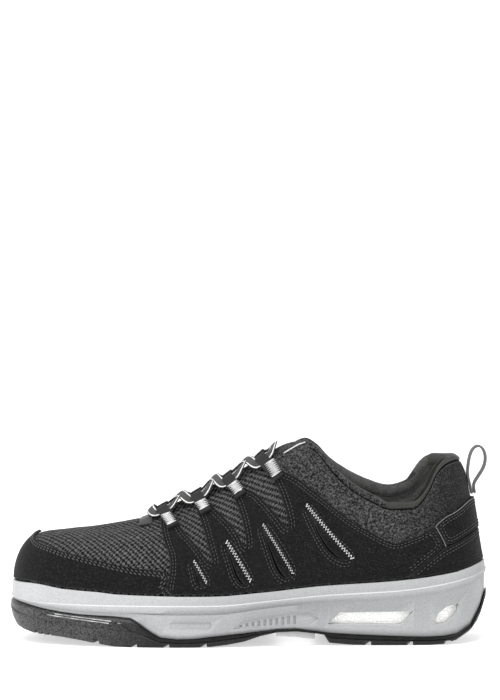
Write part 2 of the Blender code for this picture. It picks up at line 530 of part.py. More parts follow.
class Skin:
    """The outside of the upper as a grid: a column for each rib and a row for each share of its height.

    A place on it is (turn, rise). Turn is 0 at the heel's back, grows along the lateral side to 1 at the
    toe's tip and falls below 0 along the medial side, where -1 is the toe's tip again. Rise is 0 at the
    midsole's rim and 1 at the rib's top."""

    def __init__(self):
        rises = {"heel": HEEL_RISE, "instep": INSTEP_RISE, "toe": TOE_RISE}
        low = LOW_RIM * SOLE_HEIGHT
        self.table = [
            (foot, x * LENGTH, y * BALL_WIDTH, low + lateral * rises[rise], low + medial * rises[rise],
             lean, flare * BALL_WIDTH, start, end)
            for foot, x, y, rise, lateral, medial, lean, flare, start, end in RIBS
        ]
        self.points = {}
        for side in (LATERAL, MEDIAL):
            for column, share in enumerate(SHARES):
                self.points[side, column] = self.rib_points(side, share)
        for column in (0, LAST):
            self.points[MEDIAL, column] = self.points[LATERAL, column]
        self.normals = self.grid_normals()

    def top(self, side, share):
        """Top point of a rib."""
        height = ease(self.table, 3 if side < 0 else 4, share)
        y = 0.0 if share >= SPINE else ease(self.table, 2, share)
        return Vector((ease(self.table, 1, share), side * y, height))

    def rib_points(self, side, share):
        """Points of one rib: its foot in the midsole's cup, then every row from the rim up."""
        foot, out = outline_point(side, share)
        foot = foot - out * RIM_WIDTH
        foot.z = sole_z(RIM_LINE, foot.x)
        top = self.top(side, share)
        lean = math.radians(ease(self.table, 5, share))
        reach = Vector((foot.x - top.x, foot.y - top.y, 0.0)) + out * SIDE_PULL
        reach.normalize()
        first = foot + out * ease(self.table, 6, share)
        first.z += ease(self.table, 7, share) * (top.z - foot.z)
        second = top + (reach * math.cos(lean) - UP * math.sin(lean)) * (
            ease(self.table, 8, share) * (top - foot).length)
        tucked = foot - out * TUCK
        tucked.z = sole_z(FLOOR_LINE, tucked.x) + GAP
        rows = [
            foot * (1 - t) ** 3 + first * 3 * t * (1 - t) ** 2 + second * 3 * t * t * (1 - t) + top * t ** 3
            for t in ROWS
        ]
        return [tucked] + rows

    def grid_normals(self):
        """Outward normals at the grid's points, averaged from the faces around each."""
        normals = {key: [Vector() for _ in column] for key, column in self.points.items()}
        for side in (LATERAL, MEDIAL):
            for column in range(LAST):
                near, far = self.points[side, column], self.points[side, column + 1]
                for row in range(len(near) - 1):
                    across = (far[row + 1] - near[row]).cross(near[row + 1] - far[row]) * side
                    for key, level in ((column, row), (column + 1, row), (column, row + 1),
                                       (column + 1, row + 1)):
                        normals[side, key][level] += across
        for column in (0, LAST):
            for row in range(len(ROWS) + 1):
                shared = normals[LATERAL, column][row] + normals[MEDIAL, column][row]
                normals[LATERAL, column][row] = shared
                normals[MEDIAL, column][row] = shared.copy()
        for column, share in enumerate(SHARES):
            if share >= SPINE - TINY:
                shared = normals[LATERAL, column][-1] + normals[MEDIAL, column][-1]
                normals[LATERAL, column][-1] = shared
                normals[MEDIAL, column][-1] = shared.copy()
        for side in (LATERAL, MEDIAL):
            for column, share in enumerate(SHARES):
                level = outline_point(side, share)[1]
                normals[side, column][0] = level.copy()
                normals[side, column] = [normal.normalized() for normal in normals[side, column]]
        return normals

    def wall(self, share, rise):
        """Wall of the upper: padded towards the collar, thin elsewhere."""
        height = min(max((rise - PAD_FROM) / PAD_OVER, 0.0), 1.0)
        length = min(max((CORNER + PAD_PAST - share) / PAD_FADE, 0.0), 1.0)
        return WALL + (COLLAR_WALL - WALL) * height * height * (3 - 2 * height) * length

    def at(self, turn, rise, offset=0.0):
        """Point at a place on the skin, moved out along its normal."""
        side = LATERAL if 0.0 <= turn <= 1.0 else MEDIAL
        share = 2.0 - turn if turn > 1.0 else abs(turn)
        column = min(max(int(np.searchsorted(SHARES, share, side="right")) - 1, 0), LAST - 1)
        s = (share - SHARES[column]) / (SHARES[column + 1] - SHARES[column])
        row = min(max(int(np.searchsorted(ROWS, rise, side="right")) - 1, 0), len(ROWS) - 2)
        t = (rise - ROWS[row]) / (ROWS[row + 1] - ROWS[row])
        place, normal = Vector(), Vector()
        for key, across in ((column, 1 - s), (column + 1, s)):
            for level, up in ((row + 1, 1 - t), (row + 2, t)):
                place += self.points[side, key][level] * (across * up)
                normal += self.normals[side, key][level] * (across * up)
        return place + normal * offset

    def inside(self, turn, rise, clearance):
        """Point below the upper's wall."""
        return self.at(turn, rise, -self.wall(abs(turn), rise) - clearance)


def add_upper(skin):
    """The knitted upper: one hollow wall, open at the collar and throat and underneath."""
    vertices, outer, inner = [], {}, {}
    for side in (LATERAL, MEDIAL):
        for column, share in enumerate(SHARES):
            for row in range(len(ROWS) + 1):
                on_ridge = row == len(ROWS) and share >= SPINE - TINY
                if side == MEDIAL and (column in (0, LAST) or on_ridge):
                    outer[side, column, row] = outer[LATERAL, column, row]
                    inner[side, column, row] = inner[LATERAL, column, row]
                    continue
                point = skin.points[side, column][row]
                normal = skin.normals[side, column][row]
                rise = ROWS[max(row - 1, 0)]
                outer[side, column, row] = len(vertices)
                vertices.append(point)
                inner[side, column, row] = len(vertices)
                vertices.append(point - normal * skin.wall(share, rise))
    faces = []
    top = len(ROWS)
    for side in (LATERAL, MEDIAL):
        for column in range(LAST):
            for layer in (outer, inner):
                for row in range(top):
                    corners = [
                        layer[side, column, row], layer[side, column + 1, row],
                        layer[side, column + 1, row + 1], layer[side, column, row + 1],
                    ]
                    faces.append(tuple(dict.fromkeys(corners)))
            for row in (0, top):
                if row == top and SHARES[column + 1] > SPINE + TINY:
                    continue
                corners = [
                    outer[side, column, row], outer[side, column + 1, row],
                    inner[side, column + 1, row], inner[side, column, row],
                ]
                faces.append(tuple(corners))
    return add_solid("upper", vertices, faces, MATERIALS["knit"])


def add_midsole():
    """Foam midsole: stepped side, rim around the upper's foot and a cup for insole and upper."""
    rings = [sole_ring(inset, between(low, high, share)) for inset, low, high, share in MIDSOLE_RINGS]
    rings.append(sole_ring(RIM_WIDTH - GAP + TUCK, lambda x: sole_z(FLOOR_LINE, x)))
    midsole = add_stack("midsole", rings, MATERIALS["foam"])
    cut(midsole, add_core("core_pocket", 0.0))
    faces = [(WINDOW_FACE, WINDOW_BACK), (OVAL_FACE, OVAL_BACK)]
    windows = [
        wall_shape(side, from_shares(face), WINDOW_WALL + WINDOW_PAST, from_shares(back))
        for side in (LATERAL, MEDIAL) for face, back in faces
    ]
    cut(midsole, add_cutter("windows", windows))
    recesses = []
    for side in (LATERAL, MEDIAL):
        recesses.append(panel_shape(side, ARCH_PANEL, SIDE_INSET + PANEL_DEPTH))
        recesses.append(wall_shape(side, pill_outline(), SIDE_INSET + PILL_DEPTH))
    cut(midsole, add_cutter("side_recesses", recesses))
    slots = [
        wall_shape(side, slot, SIDE_INSET + RIB_DEPTH)
        for side in (LATERAL, MEDIAL) for slot in arch_slots()
    ]
    cut(midsole, add_cutter("arch_slots", slots))
    return midsole


def pill_outline():
    """Round-ended groove on the forefoot's side."""
    start, end, height, radius = PILL
    z = height * SOLE_HEIGHT
    outline = []
    for centre, first in ((place_x(start), 90), (place_x(end), -90)):
        for step in range(5):
            angle = math.radians(first + 45 * step)
            outline.append((centre + radius * math.cos(angle), z + radius * math.sin(angle)))
    return outline


def arch_slots():
    """Upright slots between the ribs of the arch."""
    first, pitch, count, width = ARCH_RIBS
    slots = []
    for index in range(count):
        place = first + pitch * index
        low = ease(ARCH_PANEL, 1, place) + SLOT_MARGIN
        high = ease(ARCH_PANEL, 2, place) - SLOT_MARGIN
        slots.append(from_shares(
            [(place, low), (place + width, low), (place + width, high), (place, high)]
        ))
    return slots


def add_core(name, clearance):
    """Block inside the heel, behind the windows: the foam, or the pocket that holds it."""
    start, end, low, high = CORE
    plan = []
    for side in (LATERAL, MEDIAL):
        row = []
        for step in range(CORE_STEPS + 1):
            x = place_x(start) + (place_x(end) - place_x(start)) * step / CORE_STEPS
            x += clearance * (1 - 2 * step / CORE_STEPS)
            row.append((x, outline_y(side, x) - side * (WINDOW_WALL + clearance)))
        plan += row if side == LATERAL else row[::-1]
    vertices, faces = prism(plan, low * SOLE_HEIGHT + clearance, high * SOLE_HEIGHT - clearance, "z")
    if clearance:
        return add_solid(name, vertices, faces, MATERIALS["bead_foam"])
    return add_cutter(name, [(vertices, faces)])


def add_outsole():
    """Rubber outsole with the toe's bumper, a thin waist and the heel's tread."""
    rings = [sole_ring(SEAM_INSET, lambda x: sole_z(SEAM_LINE, x) - GAP)]
    rings += [
        sole_ring(inset, between(SEAM_LINE, TREAD_LINE, share), upright)
        for inset, share, upright in OUTSOLE_RINGS
    ]
    outsole = add_stack("outsole", rings, MATERIALS["rubber"])
    half = BALL_WIDTH * CUT_REACH
    grooves = []
    for place, width, depth in GROOVES:
        x = place_x(place)
        top = sole_z(TREAD_LINE, x) + depth
        left, right, sweep = x - width / 2, x + width / 2, GROOVE_SWEEP
        plan = [
            (left, -half), (right, -half), (right + sweep, 0.0), (right, half), (left, half),
            (left + sweep, 0.0),
        ]
        grooves.append(prism(plan, -SOLE_HEIGHT, top, "z"))
    cut(outsole, add_cutter("grooves", grooves))
    width, depth = CHANNEL
    channels = []
    for start, end in CHANNELS:
        low, high = place_x(start), place_x(end)
        plan = [(low, -width / 2), (high, -width / 2), (high, width / 2), (low, width / 2)]
        channels.append(prism(plan, -SOLE_HEIGHT, depth, "z"))
    cut(outsole, add_cutter("channels", channels))
    return outsole


def add_plate():
    """Pale plate under the arch."""
    vertices, faces = [], []
    for share in PLATE_FEET:
        for side in (LATERAL, MEDIAL):
            point, out = outline_point(side, share)
            point = point - out * PLATE_INSET
            point.z = sole_z(TREAD_LINE, point.x) - GAP
            vertices.append(point)
            under = point.copy()
            under.z = sole_z(PLATE_LINE, point.x)
            vertices.append(under)
    for start in range(0, 4 * (len(PLATE_FEET) - 1), 4):
        faces += [
            (start, start + 2, start + 6, start + 4), (start + 1, start + 5, start + 7, start + 3),
            (start, start + 4, start + 5, start + 1), (start + 2, start + 3, start + 7, start + 6),
        ]
    end = 4 * (len(PLATE_FEET) - 1)
    faces += [(0, 1, 3, 2), (end, end + 2, end + 3, end + 1)]
    return add_solid("arch_plate", vertices, faces, MATERIALS["plate"])


def add_insole():
    """Insole lying in the upper's foot."""
    inset = RIM_WIDTH + TUCK + WALL + GAP
    def height(lift):
        return lambda x: sole_z(FLOOR_LINE, x) + GAP + lift
    rings = [sole_ring(inset, height(0.0)), sole_ring(inset, height(INSOLE))]
    return add_stack("insole", rings, MATERIALS["insole"])


def in_outline(point, outline):
    """Whether a pair lies inside a closed outline."""
    inside = False
    for (ax, ay), (bx, by) in zip(outline, outline[1:] + outline[:1]):
        if (ay > point[1]) != (by > point[1]):
            if point[0] < ax + (point[1] - ay) * (bx - ax) / (by - ay):
                inside = not inside
    return inside


def add_patch(name, skin, outline, holes, low, high, material):
    """A layer on the skin between two distances from it, cut to an outline given as turns and rises.

    Its mesh has an edge wherever the skin has one, so both stay as far apart between their points."""
    corners, edges = [], []
    for loop in [outline] + holes:
        start = len(corners)
        corners += loop
        edges += [(start + i, start + (i + 1) % len(loop)) for i in range(len(loop))]
    turns = [turn for turn, _ in outline]
    rises = [rise for _, rise in outline]
    for share in SHARES:
        for turn in {share, -share, 2 - share}:
            if min(turns) < turn < max(turns):
                edges.append((len(corners), len(corners) + 1))
                corners += [(turn, min(rises) - PATCH_MARGIN), (turn, max(rises) + PATCH_MARGIN)]
    for row in ROWS:
        if min(rises) < row < max(rises):
            edges.append((len(corners), len(corners) + 1))
            corners += [(min(turns) - PATCH_MARGIN, row), (max(turns) + PATCH_MARGIN, row)]
    flat = [Vector((turn * TURN_SCALE, rise)) for turn, rise in corners]
    points, _, triangles, *_ = delaunay_2d_cdt(flat, edges, [], 0, 1e-5)
    places = [(point.x / TURN_SCALE, point.y) for point in points]
    kept = []
    for triangle in triangles:
        middle = tuple(sum(places[i][k] for i in triangle) / 3 for k in (0, 1))
        if in_outline(middle, outline) and not any(in_outline(middle, hole) for hole in holes):
            kept.append(tuple(triangle))
    used = sorted({index for triangle in kept for index in triangle})
    number = {index: place for place, index in enumerate(used)}
    count = len(used)
    vertices = [skin.at(*places[index], low) for index in used]
    vertices += [skin.at(*places[index], high) for index in used]
    faces = [tuple(number[i] for i in triangle) for triangle in kept]
    faces += [tuple(count + number[i] for i in triangle) for triangle in kept]
    sides = {}
    for triangle in kept:
        for a, b in zip(triangle, triangle[1:] + triangle[:1]):
            key = (min(a, b), max(a, b))
            sides[key] = sides.get(key, 0) + 1
    for (a, b), times in sides.items():
        if times == 1:
            faces.append((number[a], number[b], count + number[b], count + number[a]))
    return add_solid(name, vertices, faces, material)


def mirrored(edge, middle):
    """A closed outline from one half of it and its mirror image about a turn."""
    other = [(2 * middle - turn, rise) for turn, rise in reversed(edge)]
    return list(edge) + [pair for pair in other if pair not in edge]


def blade(top_turn, top_rise, foot_turn, foot_rise, width):
    """Outline of a slot like a blade."""
    return [
        (foot_turn + (top_turn - foot_turn) * share + width * out,
         foot_rise + (top_rise - foot_rise) * share - drop)
        for share, out, drop in BLADE_SHAPE
    ]


def add_overlays(skin):
    """Microfibre pieces over the knit: toe guard, quarters with their fingers, counter and strap."""
    low, high = GAP, GAP + OVERLAY
    fibre = MATERIALS["microfibre"]
    add_patch("toe_guard", skin, mirrored(GUARD_EDGE, 1.0), [], low, high, fibre)
    holes = [blade(*row) for row in BLADES]
    add_patch("quarter_lateral", skin, list(QUARTER_EDGE), holes, low, high, fibre)
    medial = [(-turn, rise) for turn, rise in QUARTER_EDGE]
    medial_holes = [[(-turn, rise) for turn, rise in hole] for hole in holes]
    add_patch("quarter_medial", skin, medial, medial_holes, low, high, fibre)
    add_patch("heel_counter", skin, mirrored(COUNTER_EDGE, 0.0), [], low, high, fibre)
    add_patch("heel_strap", skin, mirrored(STRAP_EDGE, 0.0), [], low, high + STRAP_EXTRA, fibre)


def add_tongue(skin):
    """Tongue: under the throat's edges it follows the upper's inside, and between them it is arched."""
    rows = []
    for foot, lift in CROWN:
        across = []
        for side in (LATERAL, MEDIAL):
            length = (skin.at(side * -foot, 1.0) - skin.at(side * -foot, 0.0)).length
            under = [
                skin.inside(side * -foot, 1.0 - TONGUE_UNDER * share / length, TONGUE_CLEAR)
                for share in (1.0, 0.5, 0.0)
            ]
            across.append(under)
        lateral, medial = across
        edge_z = skin.at(foot, 1.0).z
        crown = (lateral[2] + medial[2]) / 2
        crown.z = edge_z + lift * INSTEP_RISE
        if lift < 0:
            crown.z = edge_z - WALL - TONGUE_CLEAR
        shoulders = []
        for edge in (lateral[2], medial[2]):
            shoulder = edge.lerp(crown, 0.5)
            shoulder.z = edge.z + (crown.z - edge.z) * TONGUE_SHOULDER
            shoulders.append(shoulder)
        rows.append(lateral + [shoulders[0], crown, shoulders[1]] + medial[::-1])
    count = len(rows[0])
    outer = [point for row in rows for point in row]
    normals = [Vector() for _ in outer]
    quads = []
    for row in range(len(rows) - 1):
        for column in range(count - 1):
            start = row * count + column
            quads.append((start, start + 1, start + count + 1, start + count))
    for a, b, c, d in quads:
        across = (outer[c] - outer[a]).cross(outer[d] - outer[b])
        for index in (a, b, c, d):
            normals[index] += across
    facing = 1 if normals[count * 4 + count // 2].z > 0 else -1
    inner = [point - normal.normalized() * facing * TONGUE for point, normal in zip(outer, normals)]
    total = len(outer)
    faces = quads + [tuple(total + index for index in quad) for quad in quads]
    edge = [(i, i + 1) for i in range(count - 1)]
    edge += [(total - count + i, total - count + i + 1) for i in range(count - 1)]
    edge += [(row * count, (row + 1) * count) for row in range(len(rows) - 1)]
    edge += [(row * count + count - 1, (row + 2) * count - 1) for row in range(len(rows) - 1)]
    faces += [(a, b, total + b, total + a) for a, b in edge]
    return add_solid("tongue", outer + inner, faces, MATERIALS["knit"])


def ribbon_shape(path, ups, width, thickness):
    """A flat band along a path, with the way that its face points at each of its places."""
    vertices, faces = [], []
    for index, point in enumerate(path):
        along = path[min(index + 1, len(path) - 1)] - path[max(index - 1, 0)]
        across = along.cross(ups[index]).normalized()
        up = across.cross(along).normalized()
        for a, b in ((-1, -1), (1, -1), (1, 1), (-1, 1)):
            vertices.append(point + across * (a * width / 2) + up * (b * thickness / 2))
    for start in range(0, 4 * (len(path) - 1), 4):
        for corner in range(4):
            after = (corner + 1) % 4
            faces.append((start + corner, start + after, start + 4 + after, start + 4 + corner))
    end = 4 * (len(path) - 1)
    faces += [(0, 1, 2, 3), (end, end + 3, end + 2, end + 1)]
    return vertices, faces


def face_ways(path, across):
    """Ways a band's face points when its width lies along one direction."""
    ways = []
    for index in range(len(path)):
        along = path[min(index + 1, len(path) - 1)] - path[max(index - 1, 0)]
        ways.append(across.cross(along).normalized())
    return ways


class LoopSeat:
    """Place of one lace loop: the throat's edge, the ways out, up and along it, and the loop's eye."""

    def __init__(self, skin, side, row):
        top, foot, foot_rise = row
        self.skin = skin
        self.ends = (-side * foot, foot_rise), (-side * top, 1.0)
        self.edge = skin.at(-side * top, 1.0)
        self.foot = skin.at(-side * foot, foot_rise)
        self.up = (self.edge - self.foot).normalized()
        ahead = skin.at(-side * (top - 0.02), 1.0) - skin.at(-side * (top + 0.02), 1.0)
        self.along = (ahead - self.up * ahead.dot(self.up)).normalized()
        self.out = self.up.cross(self.along) * side
        self.eye = self.place(EYE_OUT, EYE_UP)

    def on_skin(self, share, offset):
        """Point over the finger, a share of the way from the loop's foot to the throat's edge."""
        (turn, rise), (last_turn, last_rise) = self.ends
        return self.skin.at(
            turn + (last_turn - turn) * share, rise + (last_rise - rise) * share, offset
        )

    def place(self, out, up):
        """Point out from and above the throat's edge, in shares of LOOP_EYE."""
        return self.edge + self.out * (out * LOOP_EYE) + self.up * (up * LOOP_EYE)


def add_loops(skin):
    """Webbing loops that stand up from the quarters' fingers and hold the lace."""
    seats = {}
    near = 2 * GAP + OVERLAY + WEBBING / 2 + LOOP_LIFT
    far = near + WEBBING + GAP
    for side, word in ((LATERAL, "lateral"), (MEDIAL, "medial")):
        for number, row in enumerate(LOOPS, start=1):
            seat = LoopSeat(skin, side, row)
            seats[side, number] = seat
            outer = [seat.on_skin(share, far) for share in LOOP_LEGS]
            inner = [seat.on_skin(share, near) for share in reversed(LOOP_LEGS)]
            eye = [seat.place(out, up) for out, up in EYE_PATH]
            path = outer + eye + inner
            shape = ribbon_shape(path, face_ways(path, seat.along), LOOP_WIDTH, WEBBING)
            add_solid(f"lace_loop_{word}_{number}", *shape, MATERIALS["webbing"])
    return seats


def lace_run(skin, ends, lift):
    """Band of lace over the tongue from one loop to another.

    Each end is a seat, the way along the throat that the lace leaves it (1 or -1) and its point. The
    band leaves the loop upright and lies down over the tongue's crown."""
    (start_seat, start_way, start), (end_seat, end_way, end) = ends
    first = start + start_seat.along * (start_way * LACE_TURN)
    second = end + end_seat.along * (end_way * LACE_TURN)
    turn = turn_at(skin, (start.x + end.x) / 8 + (first.x + second.x) * 3 / 8)
    crown = skin.at(turn, 1.0).z + ease(CROWN, 1, turn) * INSTEP_RISE + LACE / 2 + lift
    points, ups = [], []
    middle_z = (start.z + end.z) / 8 + (first.z + second.z) * 3 / 8
    for step in range(LACE_STEPS + 1):
        t = step / LACE_STEPS
        point = (start * (1 - t) ** 3 + first * 3 * t * (1 - t) ** 2 + second * 3 * t * t * (1 - t)
                 + end * t ** 3)
        point.z += (crown - middle_z) * math.sin(math.pi * t)
        points.append(point)
        lying = Vector((-LACE_LEAN, 0.0, 1.0)) * math.sin(math.pi * t)
        leaving = max(0.0, 1 - t / LACE_HOLD)
        coming = max(0.0, 1 - (1 - t) / LACE_HOLD)
        ups.append(start_seat.out * leaving + end_seat.out * coming + lying)
    return ribbon_shape(points, ups, LACE_WIDTH, LACE)


def turn_at(skin, x):
    """Turn of the rib whose top is at x, along the throat."""
    low, high = CROWN[0][0], CROWN[-1][0]
    for _ in range(30):
        middle = (low + high) / 2
        if skin.at(middle, 1.0).x > x:
            low = middle
        else:
            high = middle
    return (low + high) / 2


def add_laces(skin, seats):
    """The lace between the loops: a bar at the front, three crossings and a bar at the top."""
    step_off = LOOP_WIDTH / 2 + LACE_END
    last = len(LOOPS)

    def stop(side, number, way):
        seat = seats[side, number]
        return seat, way, seat.eye + seat.along * (way * step_off)

    for name, number, way in (("lace_front", 1, -1), ("lace_top", last, 1)):
        ends = stop(LATERAL, number, way), stop(MEDIAL, number, way)
        add_solid(name, *lace_run(skin, ends, LACE_LIFT), MATERIALS["webbing"])
    for number in range(1, last):
        runs = []
        for side, lift in ((LATERAL, 0.0), (MEDIAL, LACE_CROSS)):
            ends = stop(side, number, 1), stop(-side, number + 1, -1)
            runs.append(lace_run(skin, ends, LACE_LIFT + lift))
        crossing = add_solid(f"lace_crossing_{number}", *runs[0], MATERIALS["webbing"])
        other = add_cutter(f"lace_crossing_{number}_other", [runs[1]])
        union = crossing.modifiers.new("union", "BOOLEAN")
        union.operation = "UNION"
        union.solver = "EXACT"
        union.object = other


def add_pull_loop(skin):
    """Webbing loop at the back of the heel, both ends sewn above the strap."""
    near = GAP + PULL_STRAP / 2
    far = near + PULL_STRAP + GAP
    path = [skin.at(0.0, rise, near) for rise in PULL_INNER]
    seat = path[-1]
    path += [seat + Vector((out, 0.0, up)) * PULL_HEIGHT for out, up in PULL_EYE]
    path += [skin.at(0.0, rise, far) for rise in PULL_OUTER]
    shape = ribbon_shape(path, face_ways(path, Vector((0.0, 1.0, 0.0))), PULL_WIDTH, PULL_STRAP)
    return add_solid("pull_loop", *shape, MATERIALS["webbing"])


for old in list(bpy.data.objects):
    bpy.data.objects.remove(old)

MATERIALS = {
    "knit": finish_material("knit", (0.045, 0.045, 0.047), 0.9),
    "microfibre": finish_material("microfibre", (0.018, 0.018, 0.019), 0.8),
    "foam": finish_material("foam", (0.56, 0.57, 0.58), 0.55),
    "bead_foam": finish_material("bead_foam", (0.86, 0.87, 0.84), 0.6),
    "rubber": finish_material("rubber", (0.012, 0.012, 0.013), 0.38),
    "plate": finish_material("plate", (0.66, 0.67, 0.67), 0.4),
    "insole": finish_material("insole", (0.03, 0.03, 0.032), 0.9),
    "webbing": finish_material("webbing", (0.06, 0.06, 0.065), 0.8),
}

skin = Skin()
add_upper(skin)
add_midsole()
add_core("heel_foam", GAP)
add_outsole()
add_plate()
add_insole()
add_overlays(skin)
add_tongue(skin)
loop_seats = add_loops(skin)
add_laces(skin, loop_seats)
add_pull_loop(skin)
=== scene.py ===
import math
import bpy
import numpy as np
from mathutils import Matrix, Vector
from mathutils.bvhtree import BVHTree


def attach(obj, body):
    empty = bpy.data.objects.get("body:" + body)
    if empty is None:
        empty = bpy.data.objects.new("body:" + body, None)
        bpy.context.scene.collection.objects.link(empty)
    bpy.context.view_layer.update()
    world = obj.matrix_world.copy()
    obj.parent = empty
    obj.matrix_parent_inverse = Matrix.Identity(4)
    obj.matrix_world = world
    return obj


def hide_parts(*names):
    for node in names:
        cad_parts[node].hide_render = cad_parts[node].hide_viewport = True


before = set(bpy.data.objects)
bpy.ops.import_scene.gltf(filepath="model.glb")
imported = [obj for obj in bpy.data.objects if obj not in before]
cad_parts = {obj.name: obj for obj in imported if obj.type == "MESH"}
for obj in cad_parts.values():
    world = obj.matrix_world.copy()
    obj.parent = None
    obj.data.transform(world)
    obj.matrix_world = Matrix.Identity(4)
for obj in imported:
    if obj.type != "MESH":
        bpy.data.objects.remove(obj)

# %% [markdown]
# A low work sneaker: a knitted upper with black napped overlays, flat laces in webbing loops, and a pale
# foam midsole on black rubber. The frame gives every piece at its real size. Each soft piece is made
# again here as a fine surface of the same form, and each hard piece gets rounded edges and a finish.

bpy.ops.object.select_all(action="DESELECT")
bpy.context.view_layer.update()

# %% [markdown]
# Four helpers serve every piece. An operator acts on all that is selected, so one of them leaves a single
# piece selected and active. The others put new data, such as a curve or a lamp, into the scene, make a
# mesh from points and faces, and turn a curve into a mesh.

# %% Helpers for objects
def only(piece):
    """Leave one piece selected and active."""
    bpy.ops.object.select_all(action="DESELECT")
    piece.select_set(True)
    bpy.context.view_layer.objects.active = piece


def added(name, data):
    """New object in the scene."""
    made = bpy.data.objects.new(name, data)
    bpy.context.collection.objects.link(made)
    return made


def from_points(name, points, faces):
    """New piece with a mesh of points and faces."""
    mesh = bpy.data.meshes.new(name)
    mesh.from_pydata(points, [], faces)
    return added(name, mesh)


def as_mesh(piece):
    """Turn a curve into a mesh."""
    only(piece)
    bpy.ops.object.convert(target="MESH")
    return bpy.context.object


# %% [markdown]
# The camera comes first, because every later choice is judged through it. The photograph is a long lens
# at a small height, level with the shoe's middle, so the sole's far edge nearly hides behind the near
# one. The frame is tall, and the shoe lies in its lower part, which the lens shift does.

# %% Camera
VIEW_HEIGHT = math.radians(5.0)
VIEW_DISTANCE = 1.8
VIEW_TARGET = Vector((0.00112, 0.0, 0.060))
FOCAL_PIXELS = 2834.0
PHOTO_HEIGHT = 700
TARGET_ROW = 544.0
SENSOR = 36.0

camera_data = bpy.data.cameras.new("camera")
camera_data.sensor_fit = "VERTICAL"
camera_data.sensor_height = SENSOR
camera_data.lens = FOCAL_PIXELS / PHOTO_HEIGHT * SENSOR
camera_data.shift_y = (TARGET_ROW - PHOTO_HEIGHT / 2) / PHOTO_HEIGHT
camera = added("camera", camera_data)
camera.location = VIEW_TARGET + Vector(
    (0.0, -math.cos(VIEW_HEIGHT), math.sin(VIEW_HEIGHT))) * VIEW_DISTANCE
camera.rotation_euler = (math.pi / 2 - VIEW_HEIGHT, 0.0, 0.0)
bpy.context.scene.camera = camera
bpy.context.scene.view_settings.view_transform = "Standard"
print("lens in mm:", round(camera_data.lens, 1))

# %% [markdown]
# A studio for a black shoe: a white sweep under and behind it, a large soft lamp above for the tops of
# the folds, and two long lamps at the sides whose edges draw the nap and the rubber's ribs.

# %% Lamps
def soft_lamp(name, place, size, power, aim=(0.0, 0.0, 0.06)):
    """Area lamp turned towards a point."""
    data = bpy.data.lights.new(name, "AREA")
    data.shape = "RECTANGLE"
    data.size, data.size_y = size
    data.energy = power
    lamp = added(name, data)
    lamp.location = place
    lamp.rotation_euler = (Vector(aim) - Vector(place)).to_track_quat("-Z", "Y").to_euler()
    print(name, "watts:", power)


soft_lamp("lamp_above", (-0.25, -0.5, 1.5), (1.3, 0.9), 21.0)
soft_lamp("lamp_front", (-0.7, -1.7, 0.75), (1.2, 0.9), 7.0)
soft_lamp("lamp_heel", (1.3, -0.9, 0.6), (0.5, 1.2), 6.0)
soft_lamp("lamp_toe", (-1.4, 0.1, 0.5), (0.4, 1.2), 6.0)

# %% Sweep and plain light
SWEEP = 3.0
SWEEP_BEND = 1.0
ROOM_LIGHT = 0.36

bpy.ops.mesh.primitive_plane_add(size=2 * SWEEP, location=(0.0, 0.0, 0.0))
floor = bpy.context.object
floor.name = "floor"
bpy.ops.object.mode_set(mode="EDIT")
bpy.ops.mesh.select_mode(type="EDGE")
bpy.ops.mesh.select_all(action="DESELECT")
bpy.ops.object.mode_set(mode="OBJECT")
for edge in floor.data.edges:
    edge.select = all(floor.data.vertices[i].co.y > SWEEP - 0.01 for i in edge.vertices)
bpy.ops.object.mode_set(mode="EDIT")
bpy.ops.mesh.extrude_region_move(TRANSFORM_OT_translate={"value": (0.0, 0.0, SWEEP)})
bpy.ops.object.mode_set(mode="OBJECT")
bend = floor.modifiers.new("bend", "BEVEL")
bend.width = SWEEP_BEND
bend.segments = 12
bpy.ops.object.modifier_apply(modifier="bend")
bpy.ops.object.shade_smooth()
floor.select_set(False)

world = bpy.data.worlds.new("studio")
bpy.context.scene.world = world
world.use_nodes = True
background = world.node_tree.nodes["Background"]
background.inputs["Color"].default_value = (1.0, 1.0, 1.0, 1.0)
background.inputs["Strength"].default_value = ROOM_LIGHT
print("faces of the sweep:", len(floor.data.polygons))

# %% [markdown]
# The upper is one skin over the last. Ribs rise from the line where upper and midsole meet to the
# collar, to the throat's edge or, over the toes, to the ridge in the middle. A place on it is (turn,
# rise): turn runs from 0 at the back of the heel to 1 at the toe's tip on the lateral side, and to -1 on
# the medial one, and rise from 0 at the midsole's rim to 1 at the rib's top. These are the shoe's own
# lines, so the fine pieces keep the form of the plain ones in the frame.

# %% Sizes of the last
LENGTH = 0.303
BALL_WIDTH = 0.108
SOLE_HEIGHT = 0.0505
RISES = {"heel": 0.086, "instep": 0.0975, "toe": 0.0375}
GAP = 0.0003
WALL = 0.0024
COLLAR_WALL = 0.0056
RIM_WIDTH = 0.0034
TUCK = 0.0016
OVERLAY = 0.0012
LATERAL, MEDIAL = -1, 1
print("length and ball's width in mm:", LENGTH * 1000, BALL_WIDTH * 1000)

